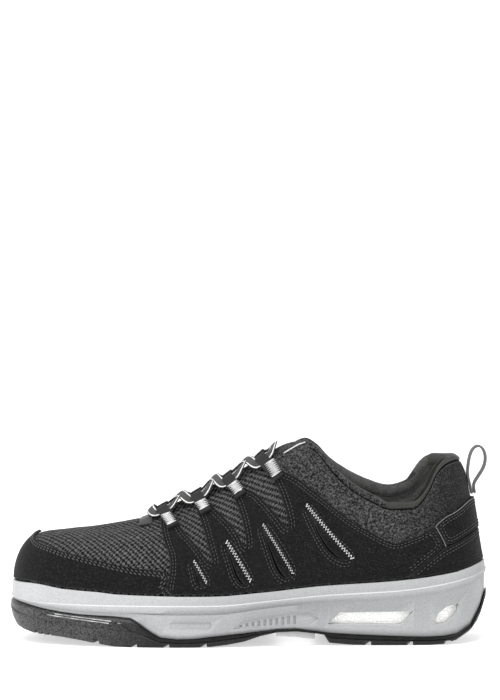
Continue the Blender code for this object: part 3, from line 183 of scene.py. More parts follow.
# %% Lines of the sole
OUTLINE = (
    # place along the length from the toe, then shares of the ball's width on the lateral and medial side
    (0.000, -0.040, 0.040), (0.010, 0.110, 0.175), (0.035, 0.227, 0.287), (0.080, 0.333, 0.380),
    (0.150, 0.417, 0.454), (0.240, 0.474, 0.491), (0.340, 0.500, 0.497), (0.440, 0.486, 0.446),
    (0.540, 0.444, 0.378), (0.640, 0.403, 0.338), (0.740, 0.384, 0.340), (0.830, 0.380, 0.362),
    (0.900, 0.356, 0.347), (0.950, 0.292, 0.287), (0.985, 0.167, 0.162), (1.000, 0.000, 0.000),
)
RIM_LINE = (
    # place along the length from the toe, height as a share of the sole's
    (0.000, 0.741), (0.054, 0.749), (0.124, 0.697), (0.193, 0.673), (0.226, 0.651), (0.289, 0.638),
    (0.384, 0.626), (0.434, 0.626), (0.500, 0.653), (0.566, 0.687), (0.639, 0.733), (0.777, 0.784),
    (0.847, 0.824), (0.893, 0.863), (0.932, 0.903), (0.987, 0.996), (1.000, 1.010),
)
FLOOR_LINE = (
    # the same for the floor of the midsole's cup
    (0.000, 0.614), (0.038, 0.594), (0.087, 0.554), (0.170, 0.515), (0.302, 0.475), (0.500, 0.495),
    (0.632, 0.554), (0.814, 0.634), (0.929, 0.653), (1.000, 0.663),
)
LOW_RIM = 0.626
print("lowest rim in mm:", round(LOW_RIM * SOLE_HEIGHT * 1000, 1))

# %% Ribs of the last
RIBS = (
    # foot as a turn, top's x and y as shares of length and ball, kind of rise, its share on the lateral
    # and medial side, lean at the top in degrees, then flare, start and end of the rib's two handles
    (0.000, 0.4377, 0.0000, "heel", 0.986, 0.986, 62, -0.055, 0.40, 0.30),
    (0.052, 0.4290, 0.1080, "heel", 1.000, 1.000, 68, -0.030, 0.40, 0.30),
    (0.118, 0.4092, 0.1810, "heel", 0.982, 0.995, 76, 0.004, 0.42, 0.32),
    (0.146, 0.3894, 0.2220, "heel", 0.918, 0.995, 80, 0.018, 0.44, 0.34),
    (0.169, 0.3696, 0.2450, "heel", 0.775, 0.943, 82, 0.026, 0.44, 0.36),
    (0.194, 0.3400, 0.2680, "heel", 0.670, 0.800, 84, 0.032, 0.45, 0.38),
    (0.231, 0.2970, 0.2820, "heel", 0.667, 0.753, 84, 0.034, 0.45, 0.38),
    (0.271, 0.2508, 0.2820, "instep", 0.642, 0.705, 82, 0.030, 0.45, 0.38),
    (0.311, 0.2079, 0.2730, "instep", 0.723, 0.770, 79, 0.024, 0.44, 0.36),
    (0.350, 0.1716, 0.2550, "instep", 0.831, 0.850, 74, 0.016, 0.42, 0.34),
    (0.387, 0.1420, 0.2360, "instep", 0.943, 0.945, 68, 0.010, 0.41, 0.32),
    (0.416, 0.1188, 0.2180, "instep", 0.979, 0.979, 64, 0.004, 0.40, 0.31),
    (0.444, 0.0792, 0.1940, "instep", 0.916, 0.916, 58, 0.000, 0.39, 0.30),
    (0.479, 0.0330, 0.1760, "instep", 0.818, 0.818, 52, -0.004, 0.38, 0.30),
    (0.522, -0.0231, 0.1660, "instep", 0.711, 0.711, 45, -0.006, 0.38, 0.31),
    (0.564, -0.0825, 0.1560, "instep", 0.605, 0.605, 37, -0.004, 0.40, 0.34),
    (0.612, -0.1485, 0.1440, "instep", 0.516, 0.516, 28, 0.000, 0.44, 0.38),
    (0.655, -0.1990, 0.1140, "instep", 0.469, 0.469, 18, 0.004, 0.48, 0.42),
    (0.677, -0.2200, 0.0700, "toe", 1.195, 1.195, 8, 0.006, 0.50, 0.44),
    (0.700, -0.2294, 0.0000, "toe", 1.189, 1.189, 0, 0.007, 0.52, 0.46),
    (0.721, -0.2574, 0.0000, "toe", 1.141, 1.141, 0, 0.007, 0.54, 0.47),
    (0.756, -0.2970, 0.0000, "toe", 1.085, 1.085, 0, 0.007, 0.57, 0.49),
    (0.790, -0.3300, 0.0000, "toe", 1.053, 1.053, 0, 0.006, 0.60, 0.50),
    (0.824, -0.3580, 0.0000, "toe", 1.037, 1.037, 0, 0.005, 0.62, 0.49),
    (0.854, -0.3795, 0.0000, "toe", 1.016, 1.016, 0, 0.004, 0.62, 0.47),
    (0.883, -0.3960, 0.0000, "toe", 1.003, 1.003, 0, 0.003, 0.61, 0.44),
    (0.908, -0.4060, 0.0000, "toe", 0.995, 0.995, 0, 0.002, 0.60, 0.41),
    (0.937, -0.4125, 0.0000, "toe", 0.987, 0.987, 0, 0.001, 0.58, 0.37),
    (1.000, -0.4158, 0.0000, "toe", 0.981, 0.981, 0, 0.000, 0.54, 0.32),
)
SPINE = 0.700
CORNER = 0.416
SIDE_PULL = 0.008
print("ribs drawn by hand:", len(RIBS))

# %% Smooth lines and the sole's outline
PATH_STEPS = 12


def ease(table, column, at):
    """A column of a table at a place, drawn as a smooth line that never overshoots its rows."""
    places = np.array([row[0] for row in table])
    values = np.array([row[column] for row in table])
    steps = np.diff(places)
    slopes = np.diff(values) / steps
    tangents = np.zeros(len(values))
    same_way = slopes[:-1] * slopes[1:] > 0
    before, after = slopes[:-1][same_way], slopes[1:][same_way]
    tangents[1:-1][same_way] = 2 * before * after / (before + after)
    tangents[0], tangents[-1] = slopes[0], slopes[-1]
    index = int(np.clip(np.searchsorted(places, at) - 1, 0, len(steps) - 1))
    step = steps[index]
    t = min(max((at - places[index]) / step, 0.0), 1.0)
    return float(
        values[index] * (1 + 2 * t) * (1 - t) ** 2
        + tangents[index] * step * t * (1 - t) ** 2
        + values[index + 1] * t * t * (3 - 2 * t)
        - tangents[index + 1] * step * t * t * (1 - t)
    )


def side_path(side):
    """One side of the sole's outline, from the heel's back to the toe's tip."""
    column = 1 if side < 0 else 2
    points = [
        Vector(((row[0] - 0.5) * LENGTH, side * row[column] * BALL_WIDTH, 0.0)) for row in reversed(OUTLINE)
    ]
    beyond_heel = Vector((points[1].x, -points[1].y, 0.0))
    beyond_toe = Vector((points[-2].x, -side * OUTLINE[1][3 - column] * BALL_WIDTH, 0.0))
    chain = [beyond_heel] + points + [beyond_toe]
    fine = []
    for index in range(1, len(chain) - 2):
        a, b, c, d = chain[index - 1:index + 3]
        reach = (c - b).length
        start = (c - a) * reach / (reach + (b - a).length)
        end = (d - b) * reach / (reach + (d - c).length)
        for step in range(PATH_STEPS):
            t = step / PATH_STEPS
            fine.append(
                b * (1 + 2 * t) * (1 - t) ** 2 + start * t * (1 - t) ** 2
                + c * t * t * (3 - 2 * t) - end * t * t * (1 - t))
    fine.append(points[-1].copy())
    return fine


PATHS = {}
for side in (LATERAL, MEDIAL):
    path = side_path(side)
    gone = [0.0]
    for before, after in zip(path, path[1:]):
        gone.append(gone[-1] + (after - before).length)
    PATHS[side] = (path, gone)
SIDE_LENGTH = PATHS[LATERAL][1][-1]
print("one side of the sole's edge in mm:", round(SIDE_LENGTH * 1000, 1))


def outline_point(side, share):
    """Point of the outline at a share of its side, with the direction straight out of the shoe."""
    path, gone = PATHS[side]
    goal = share * gone[-1]
    index = min(int(np.searchsorted(gone, goal, side="right")) - 1, len(path) - 2)
    t = (goal - gone[index]) / (gone[index + 1] - gone[index])
    along = path[min(index + 2, len(path) - 1)] - path[max(index - 1, 0)]
    if share in (0.0, 1.0):
        along = Vector((0.0, side if share == 0.0 else -side, 0.0))
    out = Vector((-along.y, along.x, 0.0)) * -side
    return path[index].lerp(path[index + 1], t), out.normalized()


# %% Ribs of the skin
STATIONS = 300
LEVELS = 48
RIB_TABLE = [
    (foot, x * LENGTH, y * BALL_WIDTH, LOW_RIM * SOLE_HEIGHT + lateral * RISES[rise],
     LOW_RIM * SOLE_HEIGHT + medial * RISES[rise], lean, flare * BALL_WIDTH, start, end)
    for foot, x, y, rise, lateral, medial, lean, flare, start, end in RIBS
]


def rib(side, share):
    """Points of one rib: its foot in the midsole's cup, then every level from the rim up."""
    foot, out = outline_point(side, share)
    foot = foot - out * RIM_WIDTH
    foot.z = SOLE_HEIGHT * ease(RIM_LINE, 1, foot.x / LENGTH + 0.5)
    top_y = 0.0 if share >= SPINE else side * ease(RIB_TABLE, 2, share)
    top = Vector((ease(RIB_TABLE, 1, share), top_y, ease(RIB_TABLE, 3 if side < 0 else 4, share)))
    lean = math.radians(ease(RIB_TABLE, 5, share))
    reach = Vector((foot.x - top.x, foot.y - top.y, 0.0)) + out * SIDE_PULL
    reach.normalize()
    first = foot + out * ease(RIB_TABLE, 6, share)
    first.z += ease(RIB_TABLE, 7, share) * (top.z - foot.z)
    second = top + (reach * math.cos(lean) - Vector((0.0, 0.0, math.sin(lean)))) * (
        ease(RIB_TABLE, 8, share) * (top - foot).length)
    tucked = foot - out * TUCK
    tucked.z = SOLE_HEIGHT * ease(FLOOR_LINE, 1, tucked.x / LENGTH + 0.5) + GAP
    points = [tucked]
    for level in range(LEVELS + 1):
        t = level / LEVELS
        points.append(
            foot * (1 - t) ** 3 + first * 3 * t * (1 - t) ** 2 + second * 3 * t * t * (1 - t) + top * t ** 3)
    return [tuple(point) for point in points]


medial_ribs = [rib(MEDIAL, step / STATIONS) for step in range(STATIONS, 0, -1)]
lateral_ribs = [rib(LATERAL, step / STATIONS) for step in range(STATIONS + 1)]
ALL_RIBS = np.array(medial_ribs + lateral_ribs)
ALL_RIBS[0] = ALL_RIBS[-1]
FEET, SKIN = ALL_RIBS[:, 0], ALL_RIBS[:, 1:]


def skin_normals():
    """Outward normals of the skin, smooth over the toe's tip and over the ridge of the vamp.

    At the ridge's front end both neighbours are one point, so the normal there is undefined. This is open:
    the few points of the upper round that place are undefined too.
    """
    looped = np.concatenate([SKIN[-2:-1], SKIN, SKIN[1:2]])
    along = looped[2:] - looped[:-2]
    up = np.gradient(SKIN, axis=1)
    normals = np.cross(up, along)
    ridge = int(round((1 - SPINE) * STATIONS))
    for column in range(ridge + 1):
        shared = normals[column, -1] + normals[-1 - column, -1]
        normals[column, -1] = normals[-1 - column, -1] = shared
    return normals / np.linalg.norm(normals, axis=2, keepdims=True)


NORMALS = skin_normals()
print("points on the skin:", SKIN.shape[0] * SKIN.shape[1])


def grid_at(grid, turn, rise):
    """Values of a grid over the skin at some places."""
    turn = np.where(turn > 1.0, turn - 2.0, turn)
    across = np.clip((turn + 1.0) * STATIONS, 0, 2 * STATIONS - 1e-6)
    up = np.clip(rise * LEVELS, 0, LEVELS - 1e-6)
    column, level = across.astype(int), up.astype(int)
    shape = (-1,) + (1,) * (grid.ndim - 2)
    s, t = (across - column).reshape(shape), (up - level).reshape(shape)
    return (grid[column, level] * (1 - s) * (1 - t) + grid[column + 1, level] * s * (1 - t)
            + grid[column, level + 1] * (1 - s) * t + grid[column + 1, level + 1] * s * t)


def on_skin(turn, rise, offset=0.0):
    """Points and normals at places on the skin, moved out along the normal. Takes numbers or arrays."""
    turn, rise = np.atleast_1d(turn).astype(float), np.atleast_1d(rise).astype(float)
    normal = grid_at(NORMALS, turn, rise)
    normal /= np.linalg.norm(normal, axis=1, keepdims=True)
    return grid_at(SKIN, turn, rise) + normal * np.reshape(offset, (-1, 1)), normal


def skin_point(turn, rise, offset=0.0):
    """One point on the skin."""
    return Vector(on_skin(turn, rise, offset)[0][0])


# %% [markdown]
# Overlays are cut flat and then pulled over the last, so they are drawn flat here too. On the flat
# pattern one side of the sole's edge is laid out straight, and heights are measured along the ribs, which
# keeps lengths nearly true. Stitch rows and edges are worked out on the flat as well.

# %% The flat pattern
RIB_LENGTHS = np.linalg.norm(np.diff(SKIN, axis=1), axis=2).sum(axis=1)
TURNS = np.linspace(-1.0, 1.0, 2 * STATIONS + 1)
print("longest rib in mm:", round(RIB_LENGTHS.max() * 1000, 1))


def rib_length(turn):
    """Length of the rib at each turn."""
    turn = np.where(np.asarray(turn) > 1.0, np.asarray(turn) - 2.0, turn)
    return np.interp(turn, TURNS, RIB_LENGTHS)


def to_flat(places):
    """Places on the skin as points of the flat pattern, in metres."""
    places = np.array(places, float)
    return np.stack([places[:, 0] * SIDE_LENGTH, places[:, 1] * rib_length(places[:, 0])], axis=1)


def from_flat(points):
    """Turns and rises of points of the flat pattern."""
    points = np.asarray(points, float)
    turn = points[:, 0] / SIDE_LENGTH
    return turn, points[:, 1] / rib_length(turn)


# %% Outlines on the flat
FINE_STEP = 0.0005
CORNER_CUTS = (0.003, 0.0012)
CUT_SHARE = 0.27
BATCH = 2000


def softened(points):
    """A closed outline with its corners cut twice, each cut short beside short edges."""
    points = np.asarray(points, float)
    for limit in CORNER_CUTS:
        cut = []
        for index, point in enumerate(points):
            for other in (points[index - 1], points[(index + 1) % len(points)]):
                length = np.linalg.norm(other - point)
                cut.append(point + (other - point) / length * min(CUT_SHARE * length, limit))
        points = np.array(cut)
    return points


def walked(points, step, closed=True):
    """Points at even steps along a line."""
    points = np.asarray(points, float)
    if closed:
        points = np.concatenate([points, points[:1]])
    gone = np.concatenate([[0.0], np.cumsum(np.linalg.norm(np.diff(points, axis=0), axis=1))])
    count = max(2, int(round(gone[-1] / step)))
    places = np.linspace(0.0, gone[-1], count, endpoint=not closed)
    return np.stack([np.interp(places, gone, points[:, k]) for k in range(points.shape[1])], axis=1)


def edge_distance(points, outlines):
    """Distance on the flat from each point to the nearest of some closed outlines."""
    points = np.asarray(points, float)
    best = np.full(len(points), 1.0)
    for outline in outlines:
        line = walked(outline, FINE_STEP)
        for start in range(0, len(points), BATCH):
            part = points[start:start + BATCH]
            gaps = np.linalg.norm(part[:, None, :] - line[None, :, :], axis=2).min(axis=1)
            best[start:start + BATCH] = np.minimum(best[start:start + BATCH], gaps)
    return best


def unit_steps(row):
    """Direction of a line at each of its points."""
    step = np.gradient(row, axis=0)
    return step / np.linalg.norm(step, axis=1, keepdims=True)


# %% [markdown]
# Materials are small node trees. One class keeps each finish readable: it starts a material, adds nodes
# with their values, and has short words for noise, ramps, mixes and bumps. Patterns read the piece's own
# place or its UV map, both in metres, so a stitch or a knit row has its real pitch.

# %% Helpers for finishes
class Finish:
    """A material with a Principled shader and short ways to add what feeds it."""

    def __init__(self, name, roughness, **values):
        print("finish:", name)
        self.material = bpy.data.materials.new(name)
        self.material.use_nodes = True
        self.tree = self.material.node_tree
        self.shader = self.tree.nodes["Principled BSDF"]
        self.shader.inputs["Roughness"].default_value = roughness
        for socket, value in values.items():
            self.shader.inputs[socket.replace("_", " ")].default_value = value

    def node(self, kind, inputs=None, **settings):
        """Add a node. An input is a value or another node's output."""
        made = self.tree.nodes.new("ShaderNode" + kind)
        for setting, value in settings.items():
            setattr(made, setting, value)
        for socket, value in (inputs or {}).items():
            if isinstance(value, bpy.types.NodeSocket):
                self.tree.links.new(value, made.inputs[socket])
            else:
                made.inputs[socket].default_value = value
        return made

    def math(self, operation, first, second=0.0, clamp=False):
        """Output of a Math node."""
        return self.node("Math", {0: first, 1: second}, operation=operation, use_clamp=clamp).outputs[0]

    def half(self, value):
        """A value from -1 to 1 as a share from 0 to 1."""
        return self.math("ADD", self.math("MULTIPLY", value, 0.5), 0.5)

    def place(self):
        """Place on the object, in metres."""
        return self.node("TexCoord").outputs["Object"]

    def along(self):
        """Place along the shoe, from toe to heel."""
        return self.node("SeparateXYZ", {"Vector": self.place()}).outputs["X"]

    def facing_up(self):
        """How far a face looks up, from -1 to 1."""
        return self.node("SeparateXYZ", {"Vector": self.node("NewGeometry").outputs["Normal"]}).outputs["Z"]

    def noise(self, scale, detail=2.0, roughness=0.5):
        """Noise over the object's own metres."""
        made = self.node("TexNoise", {
            "Vector": self.place(), "Scale": scale, "Detail": detail, "Roughness": roughness})
        return made.outputs["Fac"]

    def ramp(self, value, stops):
        """Colours or greys at places along a value."""
        made = self.node("ValToRGB", {"Fac": value})
        ramp = made.color_ramp
        while len(ramp.elements) < len(stops):
            ramp.elements.new(0.5)
        for element, (place, colour) in zip(ramp.elements, stops):
            element.position = place
            element.color = (*colour, 1.0) if isinstance(colour, tuple) else (colour, colour, colour, 1.0)
        return made.outputs["Color"]

    def mix(self, mask, first, second):
        """Two colours mixed by a mask."""
        made = self.node("Mix", {0: mask}, data_type="RGBA")
        for index, value in ((6, first), (7, second)):
            if isinstance(value, bpy.types.NodeSocket):
                self.tree.links.new(value, made.inputs[index])
            else:
                made.inputs[index].default_value = (*value, 1.0)
        return made.outputs[2]

    def colour(self, value):
        """Feed the base colour."""
        self.tree.links.new(value, self.shader.inputs["Base Color"])

    def roughness(self, value):
        """Feed the roughness."""
        self.tree.links.new(value, self.shader.inputs["Roughness"])

    def glow(self, colour, strength):
        """Let the finish give off a little light of its own."""
        self.shader.inputs["Emission Color"].default_value = (*colour, 1.0)
        self.shader.inputs["Emission Strength"].default_value = strength

    def bump(self, height, distance):
        """Feed the normal from a height; a second call lies on the first."""
        made = self.node("Bump", {"Height": height, "Distance": distance, "Strength": 1.0})
        old = self.shader.inputs["Normal"].links
        if old:
            self.tree.links.new(old[0].from_socket, made.inputs["Normal"])
        self.tree.links.new(made.outputs["Normal"], self.shader.inputs["Normal"])

    def uv(self):
        """U and V of the piece's own map."""
        made = self.node("SeparateXYZ", {"Vector": self.node("UVMap").outputs["UV"]})
        return made.outputs["X"], made.outputs["Y"]


# %% [markdown]
# The knit has rows of slanted nubs, each row set off by half a nub. A cosine along the row times a cosine
# up the rows gives that staggered lattice, and a little noise in the coordinates makes it yarn. The nubs
# are lighter than the holes between them, as the photo shows, and matte. The collar's mesh is finer and
# shows no rows, so noise alone draws it; towards the heel it is mixed darker as painted shade. Linings
# and binding are close weaves, and the same weave, nearly black and dull, is painted shade in the slots
# and in the collar's groove.

# %% Knit, collar mesh and lining
def knit(name, pitch, row, dark, light, depth, stray, slant):
    """Knitted mesh with nubs a pitch apart in rows. Stray is the noise in the lattice, in pitches."""
    finish = Finish(name, 0.86, Specular_IOR_Level=0.18, Sheen_Weight=0.05, Sheen_Roughness=0.5)
    u, v = finish.uv()
    stray = finish.math("MULTIPLY", finish.math("SUBTRACT", finish.noise(330.0, 1.0), 0.5), pitch * stray)
    u = finish.math("ADD", finish.math("ADD", u, finish.math("MULTIPLY", v, slant)), stray)
    v = finish.math("ADD", v, stray)
    along = finish.math("COSINE", finish.math("MULTIPLY", u, 2 * math.pi / pitch))
    across = finish.math("COSINE", finish.math("MULTIPLY", v, 2 * math.pi / row))
    nub = finish.half(finish.math("MULTIPLY", along, across))
    yarn = finish.noise(3200.0, 2.0, 0.6)
    pad = finish.ramp(nub, ((0.36, 0.0), (0.60, 0.70), (0.90, 1.0)))
    height = finish.math("ADD", pad, finish.math("MULTIPLY", yarn, 0.35))
    shade = finish.mix(pad, dark, light)
    patch = finish.noise(38.0, 2.0)
    shade = finish.mix(finish.math("MULTIPLY", patch, 0.35), shade, tuple(c * 0.55 for c in dark))
    finish.colour(shade)
    finish.bump(height, depth)
    return finish.material


KNIT = knit(
    "knit", pitch=0.0034, row=0.0036, dark=(0.0030, 0.0030, 0.0030), light=(0.145, 0.145, 0.147),
    depth=0.0010, stray=1.0, slant=0.15)


def loop_mesh(name, dark, light, depth):
    """Finer mesh of the collar, whose small loops lie without rows, mixed towards its dark colour at the
    heel as painted shade.
    """
    finish = Finish(name, 0.86, Specular_IOR_Level=0.18, Sheen_Weight=0.05, Sheen_Roughness=0.5)
    loops = finish.ramp(finish.noise(830.0, 2.0, 0.5), ((0.40, 0.0), (0.53, 0.45), (0.66, 1.0)))
    yarn = finish.noise(3200.0, 2.0, 0.6)
    shade = finish.mix(loops, dark, light)
    # Painted shade: towards the heel's back the mesh turns to its dark colour.
    heel = finish.ramp(
        finish.math("MULTIPLY", finish.along(), 5.0, clamp=True), ((0.46, 0.0), (0.64, 0.74)))
    finish.colour(finish.mix(heel, shade, dark))
    finish.bump(finish.math("ADD", loops, finish.math("MULTIPLY", yarn, 0.35)), depth)
    return finish.material


COLLAR_MESH = loop_mesh("collar_mesh", (0.006, 0.006, 0.006), (0.108, 0.108, 0.108), 0.0006)


def smooth_cloth(name, dark, light, roughness, gloss=0.3, sheen=0.15):
    """Close woven cloth with a satin face."""
    finish = Finish(name, roughness, Specular_IOR_Level=gloss, Sheen_Weight=sheen)
    finish.colour(finish.mix(finish.noise(700.0, 3.0), dark, light))
    finish.bump(finish.noise(40.0, 2.0), 0.0008)
    finish.bump(finish.noise(1800.0, 2.0), 0.00010)
    return finish.material


LINING = smooth_cloth("lining", (0.028, 0.028, 0.025), (0.080, 0.080, 0.072), 0.62)
MESH_LINING = smooth_cloth("mesh_lining", (0.020, 0.020, 0.020), (0.170, 0.170, 0.166), 0.85)
BINDING = smooth_cloth("binding", (0.014, 0.014, 0.013), (0.044, 0.044, 0.041), 0.58)
# Painted shade: a nearly black, dull cloth for the slots and the collar's groove, where shade falls.
SHADE_CLOTH = smooth_cloth("shade_cloth", (0.001, 0.001, 0.001), (0.002, 0.002, 0.002), 0.90, 0.04, 0.0)

# %% [markdown]
# The overlays are microfibre with a short nap. Its fibres scatter light at grazing angles, which is what
# sheen does, and the nap lies this way or that in patches, which a slow noise gives. Along the cut edge
# the backing shows a touch lighter, and each stitch row pulls a soft trough. Both follow the distance
# from the edge, kept on the mesh in the attribute edge.

# %% Napped microfibre
STITCH_ROWS = (0.0017, 0.0034)


def nap(name, dark, light):
    """Black napped microfibre with worn edges and the troughs of its seams."""
    finish = Finish(name, 0.92, Specular_IOR_Level=0.13, Sheen_Weight=0.06, Sheen_Roughness=0.45)
    patch = finish.noise(55.0, 3.0, 0.6)
    fibre = finish.noise(2600.0, 3.0, 0.7)
    shade = finish.mix(patch, dark, light)
    grain = finish.ramp(finish.noise(950.0, 4.0, 0.75), ((0.50, 0.0), (0.72, 1.0)))
    shade = finish.mix(grain, shade, tuple(c * 4.0 for c in light))
    edge = finish.node("Attribute", attribute_name="edge").outputs["Fac"]
    worn = finish.ramp(finish.math("MULTIPLY", edge, 1000.0), ((0.0, 1.0), (0.55, 0.0)))
    worn = finish.math("MULTIPLY", worn, 0.55)
    finish.colour(finish.mix(worn, shade, (0.055, 0.055, 0.057)))
    for place in STITCH_ROWS:
        away = finish.math("ABSOLUTE", finish.math("SUBTRACT", edge, place))
        finish.bump(finish.math("DIVIDE", away, 0.0011, clamp=True), 0.00035)
    finish.bump(finish.noise(420.0, 3.0, 0.65), 0.00030)
    finish.bump(fibre, 0.00014)
    return finish.material


NAP = nap("nap", (0.0028, 0.0028, 0.0029), (0.0078, 0.0078, 0.0081))

# %% [markdown]
# Threads, webbing and lace are yarn. The black seam thread is a little shiny, the bar tacks and zigzags
# are white, and the strap's cut edge is grey. The lace is a flat braid with two thin reflective lines near
# its edges, which its UV map places: U is the way along in metres, and V runs from 0 to 1 across.

# %% Threads, webbing and lace
BRAID_WIDTH = 0.0062
REFLEX_HALF = 0.055


def thread(name, dark, light, roughness):
    """Twisted thread."""
    finish = Finish(name, roughness)
    finish.colour(finish.ramp(finish.noise(2400.0, 1.0), ((0.3, dark), (0.7, light))))
    return finish.material


BLACK_THREAD = thread("black_thread", 0.035, 0.075, 0.55)
WHITE_THREAD = thread("white_thread", 0.68, 0.86, 0.6)
GREY_THREAD = thread("grey_thread", 0.12, 0.24, 0.6)


def braid(name, dark, light, pitch, lines):
    """Flat braid. Lines are the places across it, from 0 to 1, of the white reflective yarns."""
    finish = Finish(name, 0.75, Specular_IOR_Level=0.3, Sheen_Weight=0.08)
    u, v = finish.uv()
    wide = finish.math("MULTIPLY", v, BRAID_WIDTH)
    first = finish.math("SINE", finish.math("MULTIPLY", finish.math("ADD", u, wide), 2 * math.pi / pitch))
    second = finish.math(
        "SINE", finish.math("MULTIPLY", finish.math("SUBTRACT", u, wide), 2 * math.pi / pitch))
    height = finish.half(finish.math("MULTIPLY", first, second))
    shade = finish.ramp(height, ((0.1, dark), (0.9, light)))
    for place in lines:
        away = finish.math("ABSOLUTE", finish.math("SUBTRACT", v, place))
        shade = finish.mix(finish.math("LESS_THAN", away, REFLEX_HALF), shade, (0.80, 0.80, 0.79))
    finish.colour(shade)
    finish.bump(height, 0.00022)
    return finish.material


LACE_BRAID = braid("lace_braid", 0.022, 0.080, 0.0016, (0.14, 0.86))
LOOP_WEBBING = braid("loop_webbing", 0.004, 0.016, 0.0014, ())
PULL_WEBBING = braid("pull_webbing", 0.045, 0.150, 0.0014, ())

# %% [markdown]
# The midsole is moulded foam, painted a light silver grey. It is almost white at the toe and greyer
# towards the heel, with painted shade in a dip at the arch. Faces that look up get painted light and
# faces that turn under get painted shade. The outsole is rubber: black, specked on the bumper, half
# glossy on its sides and dull where it walks.

# %% Foam of the midsole
def foam():
    """Foam of the midsole in its silver-grey paint, with painted light on faces that look up and painted
    shade where it turns under.
    """
    finish = Finish("foam", 0.46, Specular_IOR_Level=0.45)
    along = finish.math("ADD", finish.math("MULTIPLY", finish.along(), 3.3), 0.5, clamp=True)
    # Tone along the shoe: lightest at the toe, greyer towards the heel, with a dip at the arch that is
    # painted shade.
    tone = finish.ramp(along, (
        (0.0, (0.52, 0.525, 0.53)), (0.30, (0.47, 0.474, 0.48)), (0.52, (0.37, 0.374, 0.38)),
        (0.76, (0.40, 0.406, 0.41)), (1.0, (0.38, 0.386, 0.39))))
    speck = finish.ramp(finish.noise(1100.0, 4.0, 0.75), ((0.40, 0.0), (0.62, 1.0)))
    tone = finish.mix(finish.math("MULTIPLY", speck, 0.34), tone, (0.17, 0.174, 0.178))
    # Painted shade on faces that look down and painted light on faces that look up, by the shading normal.
    facing = finish.half(finish.facing_up())
    shade_below = finish.ramp(facing, ((0.22, 0.72), (0.40, 0.22), (0.47, 0.0)))
    tone = finish.mix(shade_below, tone, (0.06, 0.061, 0.063))
    lit = finish.ramp(facing, ((0.62, 0.0), (0.78, 0.7)))
    finish.colour(finish.mix(lit, tone, (0.66, 0.665, 0.67)))
    finish.roughness(finish.ramp(finish.noise(90.0, 3.0), ((0.2, 0.40), (0.8, 0.56))))
    finish.bump(finish.noise(700.0, 3.0, 0.6), 0.00007)
    return finish.material


# %% Rubber of the outsole
def rubber():
    """Black rubber, glossier on its upright faces than on the tread, and spark-eroded on the bumper."""
    finish = Finish("rubber", 0.34, Specular_IOR_Level=0.24)
    bumper = finish.ramp(finish.math("ADD", finish.along(), 0.5), ((0.40, 1.0), (0.44, 0.12)))
    speck = finish.ramp(finish.noise(1100.0, 4.0, 0.8), ((0.40, 0.0), (0.66, 1.0)))
    speck = finish.math("MULTIPLY", speck, bumper)
    finish.colour(finish.mix(speck, (0.0025, 0.0025, 0.0025), (0.12, 0.12, 0.12)))
    below = finish.math("MULTIPLY", finish.facing_up(), -1.0, clamp=True)
    base = finish.ramp(finish.noise(120.0, 3.0), ((0.2, 0.24), (0.8, 0.38)))
    finish.roughness(finish.math("ADD", base, finish.math("MULTIPLY", below, 0.4)))
    finish.bump(finish.noise(1100.0, 2.0), 0.00016)
    return finish.material


def line_rubber(name, dark, light, roughness):
    """Rubber of the lines on the bumper: light ridges as a painted highlight, or a nearly black slit as
    painted shade.
    """
    finish = Finish(name, roughness, Specular_IOR_Level=0.5)
    finish.colour(finish.ramp(finish.noise(180.0, 2.0), ((0.3, dark), (0.65, light))))
    finish.bump(finish.noise(600.0, 2.0), 0.00005)
    return finish.material


# %% Bead foam, plate and sweep
def bead_foam():
    """White foam of fused beads. Light comes through it from the other window, as a weak glow."""
    finish = Finish("bead_foam", 0.5)
    finish.glow((1.0, 1.0, 0.98), 0.18)
    cells = finish.node(
        "TexVoronoi", {"Vector": finish.place(), "Scale": 420.0}, feature="DISTANCE_TO_EDGE")
    seam = finish.math("MULTIPLY", cells.outputs["Distance"], 6.0, clamp=True)
    finish.colour(finish.ramp(seam, ((0.0, 0.80), (0.3, (0.95, 0.95, 0.93)))))
    finish.bump(seam, 0.0003)
    return finish.material


def pale_plastic():
    """Pale plate under the arch."""
    finish = Finish("pale_plastic", 0.4)
    finish.colour(finish.ramp(finish.noise(200.0, 2.0), ((0.2, 0.55), (0.8, 0.66))))
    finish.bump(finish.noise(900.0, 2.0), 0.00006)
    return finish.material


def sweep_paint():
    """White paper under and behind the shoe."""
    finish = Finish("sweep_paint", 0.75)
    finish.colour(finish.ramp(finish.noise(2.0, 1.0), ((0.0, 0.88), (1.0, 0.90))))
    finish.glow((1.0, 1.0, 1.0), 0.55)
    return finish.material


FOAM, RUBBER, BEADS, PLATE = foam(), rubber(), bead_foam(), pale_plastic()
# Painted highlight: the ridges' light grey stands in for the light that they catch.
RIDGE_HIGHLIGHT_RUBBER = line_rubber("ridge_highlight_rubber", 0.12, 0.55, 0.22)
# Painted shade: a nearly black, dull cord where the slit is in shade.
SLIT_SHADE_RUBBER = line_rubber("slit_shade_rubber", 0.002, 0.004, 0.8)
floor.data.materials.append(sweep_paint())

# %% [markdown]
# The upper starts as a flat grid that is wrapped round the last: X of the grid is the turn, Y the rise,
# with one more row for the foot that hides in the midsole's cup. Before it is wrapped it gets its soft
# forms: the thick roll of the collar above its seam, and the troughs and ridges where the vamp flexes.

